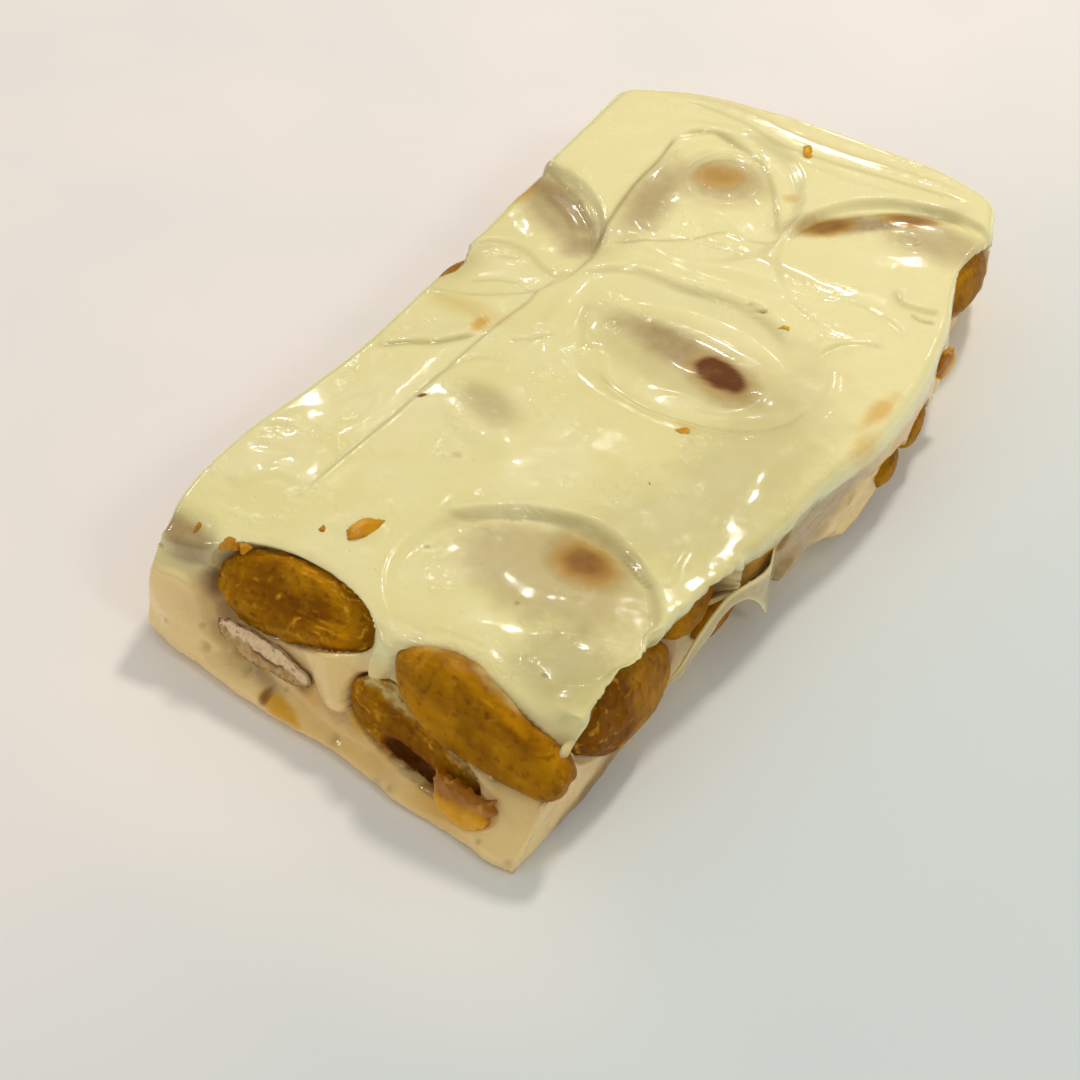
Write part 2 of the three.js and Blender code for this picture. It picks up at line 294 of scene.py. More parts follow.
@dataclass(frozen=True)
class Crease:
    """A line on the surface: a groove, with the ground on its left side raised by a step, and painted shade
    along the groove.
    """

    path: tuple[Pair, ...]
    depth: float = 0.2
    width: float = 0.45
    step: float = 0.0
    reach: float = 3.0
    shade: float = 0.4

    NARROWING = 0.8
    DEPTH_SHARE = 0.6
    SHADE_SHARE = 0.7
    END_FADE = 0.16
    LINE_POINTS = 6              # points of the line for each point of the path

    def lift(self, x: Array, y: Array) -> tuple[Array, Array]:
        """Works out the line's relief: minus its depth times the bell of the distance, and the step.

        Args:
            x: places across.
            y: places along.

        Returns:
            The height that it adds, and how far each place is shaded, from 0 to 1.
        """
        line = Spline(self.path).at(np.linspace(0, 1, self.LINE_POINTS * len(self.path)))
        width = self.NARROWING * self.width
        pad = 3.0 * width + (2.0 * self.reach if self.step else 0.0)
        low, high = line.min(0) - pad, line.max(0) + pad
        inside = (x > low[0]) & (x < high[0]) & (y > low[1]) & (y < high[1])
        rise, shaded = np.zeros_like(x), np.zeros_like(x)
        start, run = line[:-1], np.diff(line, axis=0)
        away = np.stack([x[inside], y[inside]], -1)[:, None] - start
        share = clamp((away * run).sum(-1) / (run**2).sum(-1))
        gap = np.linalg.norm(away - share[..., None] * run, axis=-1)
        nearest = gap.argmin(1)
        row = np.arange(len(nearest))
        distance = gap[row, nearest]
        cross = run[nearest, 0] * away[row, nearest, 1] - run[nearest, 1] * away[row, nearest, 0]
        along = (nearest + share[row, nearest]) / len(run)
        fade = smooth(np.minimum(along, 1 - along) / self.END_FADE)
        side = np.sign(cross) * distance
        bell = np.exp(-((distance / width) ** 2))
        step = self.step * smooth(side / (2 * width) + 0.5) * np.exp(-((side / self.reach) ** 2))
        rise[inside] = fade * (step - self.DEPTH_SHARE * self.depth * bell)
        dark = np.exp(-((distance / (0.7 * width)) ** 2))
        shaded[inside] = fade * self.SHADE_SHARE * self.shade * dark
        return rise, shaded


class Tint(Enum):
    """What shows through the nougat's surface, and painted shade, each a mesh attribute."""

    # brown of almond under the skin, and in some spots painted shadow, as along the lip's lower edge
    BROWN = "brown"
    # grey of almond under the skin, and in some spots painted shade in recesses, on slopes and under edges
    GREY = "grey"
    # amber of almond under the skin, and in some spots painted shadow beside the run of nougat on the cut
    # end
    AMBER = "amber"
    # painted shade, olive, in creases, pits and where the top is less lit
    SHADE = "shade"


BROWN, GREY, AMBER, SHADE = Tint


@dataclass(frozen=True)
class Spot(Oval):
    """A tinted place with a soft outline: amount inside, and nothing past 1 + soft."""

    tint: Tint = BROWN
    amount: float = 1.0
    soft: float = 0.5
    ragged: float = 0.12

    def strength(self, x: Array, y: Array, rough: Array) -> Array:
        """Returns how strongly the place is tinted, with its outline wavered by `rough`."""
        radius = self.radius(x, y) + self.ragged * rough
        return self.amount * smooth((1 + self.soft - radius) / (2 * self.soft))


# ---------------------------------------------------------------- meshes


def grid_quads(index: Array, flip: bool = False, closed: bool = False) -> Array:
    """Joins a grid of vertex numbers into quads.

    Args:
        index: vertex numbers, rows by columns.
        flip: turns the faces over.
        closed: joins the last column to the first.

    Returns:
        Rows of four vertex numbers.
    """
    if closed:
        index = np.concatenate([index, index[:, :1]], 1)
    quads = np.stack([index[:-1, :-1], index[1:, :-1], index[1:, 1:], index[:-1, 1:]], -1).reshape(-1, 4)
    return quads[:, ::-1] if flip else quads


def shell_faces(rows: int, columns: int) -> tuple[Array, Array]:
    """Faces of a closed shell of rings between a first and a last pole.

    Args:
        rows: rings between the poles.
        columns: vertices of a ring.

    Returns:
        The quads between the rings and the triangles at the poles, whose numbers come last.
    """
    index = np.arange(rows * columns).reshape(rows, columns)
    first, last = rows * columns, rows * columns + 1
    turned = np.roll(index, -1, 1)
    caps = [np.stack([np.full(columns, first), index[0], turned[0]], -1),
            np.stack([np.full(columns, last), turned[-1], index[-1]], -1)]
    return grid_quads(index, closed=True), np.concatenate(caps)


def vertex_normals(points: Array, quads: Array) -> Array:
    """Works out each vertex's normal: the sum of the cross products of its faces' diagonals.

    Args:
        points: the vertices.
        quads: the faces.

    Returns:
        A vector of length 1 for each vertex.
    """
    corners = points[quads]
    across = np.cross(corners[:, 2] - corners[:, 0], corners[:, 3] - corners[:, 1])
    total = np.stack([np.bincount(quads.ravel(), np.repeat(across[:, axis], 4), len(points))
                      for axis in range(3)], -1)
    return unit(total)


def relaxed(points: Array, quads: Array, weight: Array, rounds: int) -> Array:
    """Smooths a part of a mesh, as soft stuff settles.

    Each round moves a vertex, by its weight, to the mean of the middles of the faces round it.

    Args:
        points: the vertices.
        quads: the faces.
        weight: 0 to 1 for each vertex.
        rounds: how often the vertices move.

    Returns:
        The moved vertices.
    """
    corners = quads.ravel()
    count = np.maximum(np.bincount(corners, minlength=len(points)), 1)[:, None]
    for _ in range(rounds):
        middles = points[quads].mean(1)
        total = np.stack([np.bincount(corners, np.repeat(middles[:, axis], 4), len(points))
                          for axis in range(3)], -1)
        points = mix(points, total / count, weight[:, None])
    return points


def to_frame(points: Array) -> Array:
    """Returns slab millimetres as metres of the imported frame."""
    return (points + SLAB_SHIFT) * MM


def make_piece(name: str, points: Array, faces: list[Array], replaced: tuple[str, ...] = (),
               tints: dict[str, Array] | None = None) -> bpy.types.Object:
    """Makes a smooth mesh piece that rides on the bar.

    Args:
        name: the piece's name.
        points: rows of x, y and z on the slab's axes, in millimetres.
        faces: arrays of vertex numbers, one array for each number of corners.
        replaced: the CAD nodes that the piece stands for.
        tints: values for each vertex, by attribute name.

    Returns:
        The new object.
    """
    mesh = bpy.data.meshes.new(name)
    mesh.from_pydata(to_frame(points).tolist(), [], [face for some in faces for face in some.tolist()])
    mesh.polygons.foreach_set("use_smooth", np.ones(len(mesh.polygons), bool))
    for key, values in (tints or {}).items():
        attribute = mesh.attributes.new(key, "FLOAT", "POINT")
        attribute.data.foreach_set("value", np.asarray(values, np.float32))
    mesh.update()
    piece = bpy.data.objects.new(name, mesh)
    bpy.context.scene.collection.objects.link(piece)
    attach(piece, BODY)
    if replaced:
        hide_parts(*replaced)
    return piece


# ---------------------------------------------------------------- almonds


class Face(Enum):
    """How an almond's open side looks."""

    SKIN = "skin"
    TORN = "torn"
    KERNEL = "kernel"


@dataclass(frozen=True)
class Almond:
    """An almond or a half: place, half sizes (length, breadth, thickness) and open side."""

    name: str
    at: Triple
    half: Triple
    along: Triple
    facing: Triple
    face: Face = Face.SKIN
    level: float = 9.0           # height of the flat open side over the middle
    blunt: float = 0.85          # fullness towards the forward end, smaller where it is cut blunt
    tip: float = 0.85            # fullness towards the rear end, larger where it is pointed
    dark_end: float = 0.0        # how much darker the rear end is
    press: Pair = (0.97, 1.08)   # outline share where the nougat starts and ends to close over it
    margin: float = 0.6          # how far the pressed nougat lies under the almond
    film: Pair = (2.0, 3.0)      # share of the upper half where the nougat's skin starts and is whole
    wrapped: bool = False        # whether the nougat's edge is drawn out over the upper shoulder
    seed: int = 1
    rows: int = 110
    columns: int = 120

    TAPER = 0.16
    FULLNESS = 0.85
    BOXINESS = 0.8
    SKIN_DEPTH = 0.3
    DRAPE_THICK = 0.14
    DRAPE_ROUND = 0.8
    WRINKLE = 0.12
    GRAIN = 0.08
    TORN_STEP = 0.5
    LAYERS = 2.6                 # torn layers to a unit of their noise

    def axes(self) -> Array:
        """Works out the almond's own axes.

        Returns:
            The rows right, along and out.
        """
        along = unit(np.array(self.along, float))
        right = unit(np.cross(along, np.array(self.facing, float)))
        return np.stack([right, along, np.cross(right, along)])

    def local(self, points: Array) -> Array:
        """Returns points of the slab in the almond's own axes."""
        return (points - np.array(self.at)) @ self.axes().T

    def fullness(self, along: Array) -> Array:
        """Returns the power of the girth: FULLNESS, turning to `blunt` and `tip` at the ends."""
        forward = mix(self.FULLNESS, self.blunt, smooth(along * 1.6))
        return mix(forward, self.tip, smooth(-along * 1.4))

    def girth(self, along: Array) -> Array:
        """Returns the share of the girth: the circle's to the power of the fullness, tapering."""
        return np.sqrt(1 - along**2) ** self.fullness(along) * (1 - self.TAPER * along)

    def outline(self, local: Array) -> Array:
        """Works out how near the outline a place is, seen from the open side.

        The square root of the sum of the breadth share to the power 2 / fullness and the length
        share squared, where the breadth share is taken of the tapering breadth.

        Args:
            local: places in the almond's own axes.

        Returns:
            1 on the outline, and less inside it.
        """
        length, breadth, _ = self.half
        along = local[:, 1] / length
        across = np.abs(local[:, 0]) / (breadth * (1 - self.TAPER * np.clip(along, -1.2, 1.2)))
        return np.sqrt(across ** (2 / self.fullness(along)) + along**2)

    def front(self, local: Array) -> Array:
        """Works out the open side, whose sections are superellipses of power 2 / BOXINESS.

        Args:
            local: places in the almond's own axes.

        Returns:
            The height over the almond's middle plane.
        """
        length, breadth, thick = self.half
        along = np.clip(local[:, 1] / length, -1, 1)
        slim = self.girth(along)
        across = clamp(np.abs(local[:, 0]) / np.maximum(breadth * slim, 1e-6))
        power = 2 / self.BOXINESS
        return np.minimum(thick * slim * (1 - across**power) ** (1 / power), self.level)

    def press_into(self, points: Array) -> Array:
        """Lays the nougat's skin round the open side.

        Args:
            points: the nougat's vertices.

        Returns:
            The vertices that lie before the open side, moved against the facing direction to
            `margin` under it inside its outline, and less and less up to the end of the press.
        """
        local = self.local(points)
        share = 1 - smooth((self.outline(local) - self.press[0]) / (self.press[1] - self.press[0]))
        target = self.front(local) - self.margin
        height, thick = local[:, 2], self.half[2]
        ahead = (height > target) & (height > -0.5 * thick) & (height < thick + 5)
        move = np.where(ahead, (target - height) * share, 0.0)
        if self.wrapped:
            over = np.maximum(self.drape(local) - height, 0)
            over = over * (1 - smooth((over - 1.4) / 1.2))
            upper = self.upper(local)
            kept = smooth((upper - 0.66) / 0.34) * (1 - smooth((upper - 1.2) / 0.35))
            move = mix(move, over, kept * self.covered(local))
        return points + move[:, None] * self.axes()[2]

    def upper(self, local: Array) -> Array:
        """Returns the place across the open side: 1 on its upper edge and -1 on the lower one."""
        along = np.clip(local[:, 1] / self.half[0], -0.97, 0.97)
        return -local[:, 0] / (self.half[1] * self.girth(along))

    def covered(self, local: Array) -> Array:
        """Returns 1 along the part whose upper shoulder is wrapped, fading before both ends."""
        along = local[:, 1] / self.half[0]
        return smooth((0.98 - along) / 0.4) * smooth((along + 1.0) / 0.25)

    def shoulder(self, points: Array) -> Array:
        """Works out where the nougat's skin settles: over the almond's upper edge.

        Args:
            points: the nougat's vertices.

        Returns:
            1 there, fading to 0 round it.
        """
        local = self.local(points)
        upper, along = self.upper(local), np.abs(local[:, 1] / self.half[0])
        window = smooth((upper - 0.7) / 0.25) * (1 - smooth((upper - 1.5) / 0.5))
        return window * smooth((1.25 - along) / 0.2) * (local[:, 2] > -2.5)

    def filmed(self, local: Array) -> Array:
        """Works out how far a skin of nougat hides the open side, from its upper edge down.

        Args:
            local: places in the almond's own axes.

        Returns:
            1 where the skin is whole.
        """
        waver = Noise(self.seed + 5, 1.9, 3).at(local) * (0.12 if self.wrapped else 0.3)
        film = smooth((self.upper(local) + waver - self.film[0]) / (self.film[1] - self.film[0]))
        return film * self.covered(local) if self.wrapped else film

    def drape(self, local: Array) -> Array:
        """Works out a skin drawn from the top over the almond's shoulder.

        The soft minimum, of radius DRAPE_ROUND, of the open side's level with the skin on it, and
        of the plane of the nougat's top.

        Args:
            local: places in the almond's own axes.

        Returns:
            The skin's height over the almond's middle plane.
        """
        right, along, out = self.axes()[:, 2]
        roof = (HEIGHT - 0.05 - self.at[2] - local[:, 0] * right - local[:, 1] * along) / out
        flat = min(self.level, self.half[2]) + self.DRAPE_THICK
        return -self.DRAPE_ROUND * np.logaddexp(-flat / self.DRAPE_ROUND, -roof / self.DRAPE_ROUND)

    def showing(self, points: Array) -> Array:
        """Returns how much of the almond shows through the skin over it.

        Args:
            points: the nougat's vertices, after pressing.

        Returns:
            1 at the almond, fading as e to minus the skin's thickness over SKIN_DEPTH.
        """
        local = self.local(points)
        over = np.maximum(local[:, 2] - self.front(local), 0)
        inside = (1 - smooth((self.outline(local) - 0.92) / 0.14)) * (1 - self.filmed(local))
        return np.exp(-over / self.SKIN_DEPTH) * inside * (over < 3) * (local[:, 2] > -0.5 * self.half[2])

    def nearness(self, points: Array, reach: float) -> Array:
        """Works out how near the almond is.

        Args:
            points: the nougat's vertices.
            reach: the distance over which the value falls to 1 / e.

        Returns:
            1 at the almond's skin, and less away from it.
        """
        length, breadth, thick = self.half
        local = self.local(points) / np.array([breadth, length, thick])
        away = (np.linalg.norm(local, axis=1) - 1) * min(breadth, thick) * 1.3
        return np.exp(-np.maximum(away, 0) / reach) * (1 - self.filmed(self.local(points)))

    def shell(self) -> tuple[Array, Array, Array]:
        """Works out the fine almond.

        Latitude runs from tip to butt and longitude round it. Length is the cosine of latitude,
        girth its sine to the power of the fullness, and breadth and thickness are the cosine and
        sine of longitude to the power BOXINESS. The open side is cut at `level`.

        Returns:
            The vertices in the almond's own axes, the quads and the pole triangles.
        """
        length, breadth, thick = self.half
        latitude = np.linspace(0, math.pi, self.rows + 2)[1:-1, None]
        longitude = np.linspace(0, 2 * math.pi, self.columns, endpoint=False)[None]
        along = np.cos(latitude)
        slim = np.sin(latitude) ** self.fullness(along) * (1 - self.TAPER * along)

        def boxed(value: Array) -> Array:
            """Returns the value to the power BOXINESS, with its sign."""
            return np.sign(value) * np.abs(value) ** self.BOXINESS

        ring = np.stack(np.broadcast_arrays(breadth * slim * boxed(np.cos(longitude)), length * along,
                                            thick * slim * boxed(np.sin(longitude))), -1)
        points = np.concatenate([ring.reshape(-1, 3), [[0, length, 0], [0, -length, 0]]])
        over = points[:, 2] - self.level
        points[:, 2] -= np.where(over > -0.3, (over + 0.3) ** 2 / (np.abs(over) + 0.9), 0)
        quads, caps = shell_faces(self.rows, self.columns)
        return points, quads[:, ::-1], caps[:, ::-1]

    def relief(self, points: Array) -> tuple[Array, dict[str, Array]]:
        """Works out the almond's fine surface.

        Lengthwise wrinkles are noise stretched along the almond. A torn side is a terraced noise,
        whose edges get a painted highlight, as if lit. A cut kernel is pale above a wavering dark line and
        dull below it.

        Args:
            points: the vertices in the almond's own axes.

        Returns:
            How far each vertex moves out, and the tints of each vertex.
        """
        breadth = self.half[1]
        edge = clamp(self.outline(points))
        open_side = smooth(points[:, 2] / (0.4 * min(self.half[2], self.level)))
        blotch = Noise(self.seed + 11, 3.5, 2).at(points)
        fine = Noise(self.seed + 3, 0.5, 3).at(points)
        if self.face is Face.KERNEL:
            waver = Noise(self.seed + 4, 0.9, 4).at(points * (0.0, 1.0, 0.0)) * 0.36
            below = points[:, 0] / breadth - 0.12 - waver
            line = np.exp(-((below / 0.13) ** 2)) * (1 - smooth((edge - 0.75) / 0.2)) * smooth(blotch + 1.0)
            out = open_side * (0.2 * fine - 0.2 * line - 0.14 * smooth(below * 4))
            light = clamp(0.95 - 0.8 * smooth(below * 3 + 0.4) + 0.7 * fine)
            rim = smooth((edge - 0.9) / 0.08) * (0.3 + 0.5 * smooth(fine + 0.5))
            dark = clamp(np.maximum(line, rim) + 0.8 * smooth(fine * 2 - 0.4))
            return out, {"light": light, "dark": dark, "film": 0 * edge}
        rear = self.dark_end * smooth(-1.6 * points[:, 1] / self.half[0] + 0.1)
        torn = np.maximum(1.0 if self.face is Face.TORN else 0.3, clamp(rear))
        film = self.filmed(points)
        if self.face is Face.TORN:
            film = film * smooth(0.75 + 1.1 * fine)
        wrinkle = Noise(self.seed, 1.0, 3).at(points * (1.0, 0.22, 1.0))
        torn_noise = Noise(self.seed + 7, 2.6, 3).at(points * (1.0, 0.6, 1.0))
        layers, flake = terraced(torn_noise, self.LAYERS)
        rugged = open_side * torn * self.TORN_STEP * layers + 0.35 * clamp(rear) * blotch
        out = (self.WRINKLE * wrinkle + self.GRAIN * fine * torn + rugged) * (1 - film)
        centre = 1 - smooth((edge - 0.3 + 0.45 * blotch) / 0.55)
        dark = clamp(0.1 + 0.8 * torn * centre + 0.35 * blotch + 0.55 * wrinkle + 0.4 * fine * torn + rear)
        rare = smooth((Noise(self.seed + 19, 1.2, 2).at(points) + 0.6 * edge - 0.34) * 4)
        speck = smooth((Noise(self.seed + 29, 0.6, 2).at(points) - 0.45) * 5) * edge
        # painted highlight on the flakes' edges, and lighter specks near the rim
        light = clamp(open_side * torn * (flake * rare * smooth(fine * 2 + 0.6) + 0.75 * speck))
        return out, {"light": light, "dark": dark, "film": film}

    def fray(self, points: Array) -> Array:
        """Pulls the outline in and out by noise, most at the rim.

        Args:
            points: the vertices in the almond's own axes.

        Returns:
            The moved vertices.
        """
        ragged = 0.42 if self.face is not Face.SKIN else 0.15
        rim = smooth((self.outline(points) - 0.6) / 0.4)
        pull = [Noise(self.seed + layer, 1.6, 3).at(points) for layer in (13, 17)]
        return points + np.column_stack([*pull, 0 * rim]) * (ragged * rim)[:, None]

    def build(self, dents: tuple[tuple[Triple, float, float], ...] = ()) -> bpy.types.Object:
        """Makes the piece that stands for the almond's node.

        Args:
            dents: hollows, each a place in the almond's own axes, a radius and a depth; each hollow is
                darkened with painted shade.

        Returns:
            The new object.
        """
        points, quads, caps = self.shell()
        out, tints = self.relief(points)
        for place, radius, depth in dents:
            share = np.exp(-((np.linalg.norm((points - place) * (1, 0.5, 0.5), axis=1) / radius) ** 3))
            points[:, 2] -= depth * share
            # painted shade: the hollow is darkened towards the deep colour
            tints["dark"] = np.maximum(tints["dark"], 1.9 * np.sqrt(share))
            tints["light"] = tints["light"] * (1 - share)
            tints["film"] = tints["film"] * (1 - share)
        points = self.fray(points + out[:, None] * vertex_normals(points, quads))
        placed = points @ self.axes() + np.array(self.at)
        return make_piece(f"{self.name}_fine", placed, [quads, caps], (self.name,), tints)


ALMONDS = (
    Almond("almond_end_flat", (-7.6, -42.1, 9.7), (9.1, 3.8, 2.6), (1, 0.04, 0.04), (0, -0.69, 0.72),
           Face.TORN, level=2.15, press=(0.97, 1.07), margin=0.8, film=(0.98, 1.4), seed=21, rows=190,
           columns=200),
    Almond("almond_end_cut", (-9, -46.6, 6.1), (5.6, 1.4, 0.8), (0.99, -0.06, -0.11), (0, -0.87, 0.5),
           Face.KERNEL, level=0.3, press=(1.0, 1.16), margin=0.5, seed=22, rows=150, columns=200),
    Almond("almond_end_corner", (14.2, -44.9, 10.0), (9.8, 3.8, 2.9), (0.975, -0.1, -0.2), (0, -0.87, 0.5),
           Face.SKIN, level=2.2, blunt=0.45, tip=1.25, press=(0.96, 1.06), margin=0.4, film=(0.9, 1.3),
           wrapped=True, seed=23, rows=190, columns=200),
    Almond("almond_end_low", (8.6, -46.6, 5.2), (7.9, 3.0, 1.9), (0.96, -0.12, -0.26), (0, -0.87, 0.5),
           Face.TORN, level=1.65, press=(0.98, 1.08), margin=2.1, film=(0.5, 1.05), seed=24, rows=170,
           columns=180),
    Almond("almond_right_near", (21.5, -33.8, 7.0), (8.6, 4.1, 2.8), (0.03, 0.95, -0.27), (0.92, 0, 0.38),
           Face.SKIN, dark_end=1.2, press=(1.0, 1.12), seed=25, rows=170, columns=180),
    Almond("almond_right_second", (22.2, -22.6, 9.3), (4.3, 2.1, 1.9), (0, 0.98, 0.1), (0.95, 0, 0.3),
           seed=26),
    Almond("almond_right_low", (22.7, -16.6, 4.6), (5, 1.9, 1.6), (0, 0.98, 0.15), (1, 0, 0.1), seed=27),
    Almond("almond_right_far", (23.4, 35.8, 8.6), (6.2, 2.9, 2.4), (0, 0.97, -0.12), (0.95, 0, 0.3),
           seed=28),
    Almond("almond_bit_far", (27.6, 15, 5.4), (2.9, 1.7, 1.5), (0, 0.95, 0.3), (0.95, 0, 0.3),
           seed=29, rows=70, columns=80),
    Almond("almond_bit_middle", (28, 8.2, 5.2), (2.7, 1.5, 1.4), (0, 0.97, 0.2), (0.95, 0, 0.3),
           seed=30, rows=70, columns=80),
    Almond("almond_left_top", (-21.2, 3.7, 10.7), (4.0, 2.2, 1.7), (0.03, 0.99, 0), (-0.86, 0, 0.5),
           seed=31),
    Almond("almond_left_near", (-22.1, -24, 6.4), (8.6, 3.6, 2.3), (0, 0.98, 0.14), (-1, 0, 0),
           Face.TORN, level=1.9, seed=32, rows=150, columns=160),
    Almond("almond_left_far", (-22.3, 26, 6.2), (8.2, 3.4, 2.2), (0, 0.97, -0.2), (-1, 0, 0.1),
           seed=33, rows=130, columns=140),
    Almond("almond_far_left", (-9.5, 46.2, 6.6), (8.4, 3.6, 2.4), (0.98, 0.12, 0.1), (0, 1, 0),
           Face.TORN, level=1.9, seed=34, rows=150, columns=160),
    Almond("almond_far_right", (11.5, 46.6, 6.8), (8, 3.4, 2.3), (0.98, -0.04, -0.16), (0, 1, 0),
           seed=35, rows=130, columns=140),
)
# hollows in the low almond, darkened with painted shade
HOLLOWS = {"almond_end_low": (((1.6, -0.6, 1.2), 0.9, 0.5), ((1.8, 1.8, 1.2), 1.1, 0.8))}


# ---------------------------------------------------------------- nougat


@dataclass(frozen=True)
class Outline:
    """Four edges of the slab at one height, each a spline from its first corner to its second."""

    near: Spline
    far: Spline
    left: Spline
    right: Spline

    def fill(self, u: Array, v: Array) -> Array:
        """Coons patch: the two ruled surfaces between opposite edges, less the corners' one.

        Args:
            u: shares across, from left to right.
            v: shares along, from near to far.

        Returns:
            Rows of x and y.
        """
        across, along = u[:, None], v[:, None]
        near, far = self.near.at(u), self.far.at(u)
        near_ends, far_ends = (edge.at(np.array([0.0, 1.0])) for edge in (self.near, self.far))
        ruled = mix(mix(*near_ends, across), mix(*far_ends, across), along)
        return mix(near, far, along) + mix(self.left.at(v), self.right.at(v), across) - ruled


RIM = Outline(
    near=Spline(((-22.8, -44.4), (-15, -43.2), (-7, -43.2), (1, -43.8), (9, -43.7), (17, -43.4),
                 (23.3, -42.7))),
    far=Spline(((-24.4, 42.4), (-16, 46.6), (-8, 48.1), (0, 48.5), (8, 48.3), (16, 47.8), (23.4, 45.4))),
    left=Spline(((-22.8, -44.4), (-24.3, -37), (-24.2, -29.5), (-23.1, -21), (-22.3, -13), (-22.2, -4),
                 (-22.6, 5), (-23.2, 15), (-23.4, 25), (-23.8, 34), (-24.4, 42.4))),
    right=Spline(((23.3, -42.7), (23.8, -36), (23.6, -29), (25.2, -21), (26.6, -12), (27.2, -4),
                  (28.8, 5), (28.9, 14), (27.6, 23), (25.2, 31), (25.3, 39), (23.4, 45.4))),
)
FOOT = Outline(
    near=Spline(((-24.4, -46.6), (-17, -48), (-9, -49.2), (0, -49.4), (8, -51), (15, -51.8), (21.8, -52.3))),
    far=Spline(((-23.9, 42), (-8, 47.2), (8, 47.6), (22.6, 45.2))),
    left=Spline(((-24.4, -46.6), (-23.8, -24), (-22.8, -2), (-23.4, 20), (-23.9, 42))),
    right=Spline(((21.8, -52.3), (22.7, -41), (22.6, -30), (22.5, -19), (22.6, -9), (24.6, 2),
                  (25.6, 13), (25, 24), (23.8, 35), (22.6, 45.2))),
)

TOP_SHAPES = (
    Mound((-20.6, -43.2), (4.4, 2.4), -14, -1.1),
    Mound((7.5, 4), (10.5, 3.8), -6, 0.7),
    Mound((11.5, -29), (10, 5.6), 4, 0.5),
    Mound((-4, 31.5), (5.5, 7), 12, 1),
    Mound((17, 33.5), (8, 4.5), 28, 0.5),
    Mound((-17, 15.5), (6.5, 3.4), -32, 0.5),
    Mound((-5, -15.5), (6, 3), -20, 0.35),
    Mound((18.5, -38.5), (3.4, 3), 0, 0.45),
    Mound((3, 19), (12, 2.6), 5, 0.6),
    Mound((-7, 3.5), (1.6, 6), 8, 0.35),
    Mound((-18, -29), (6, 9), 0, 0.3),
    Shelf((7, 4), (14, 9.2), -4, 1.1, 0.5),
    Shelf((11, -33.2), (12.5, 10.6), 2, 1.2, 0.12, (0, 1)),
    Shelf((-2.8, 29), (8.6, 12.4), 14, 1.3, 0.2, (0.1, 0.5)),
    Shelf((20, 27.6), (13.6, 12.8), 0, 1.15, 0.06, (-0.5, 0.86)),
    Shelf((-23.4, 11.4), (13.8, 12.8), 0, 1.2, 0.07, (0.5, 0.86)),
)

TOP_RINGS = (
    Ring((-4, 32.4), (4.4, 5.2), 12, 0.2, 0.55),
    Ring((-4.3, 32), (2.9, 3.2), 12, 0.12, 0.45),
    Ring((18, 33.3), (1.6, 1.1), 0, 0.16, 0.3, 0.14),
    Ring((3.2, -27.9), (1.4, 0.7), 12, 0.12, 0.28, 0.08),
    Ring((-17.8, 8.2), (1.9, 0.9), 12, 0.16, 0.3, 0.1),
    Ring((-2.2, 4.4), (0.6, 0.5), 0, 0.12, 0.25, 0.16),
    Ring((13.7, -7.3), (0.6, 0.6), 0, 0.1, 0.25, 0.2),
    Ring((18.6, -38.4), (2.6, 2.7), 0, 0.1, 0.8),
    Ring((-4.5, -18.2), (0.5, 0.5), 0, 0.1, 0.25, 0.1),
)

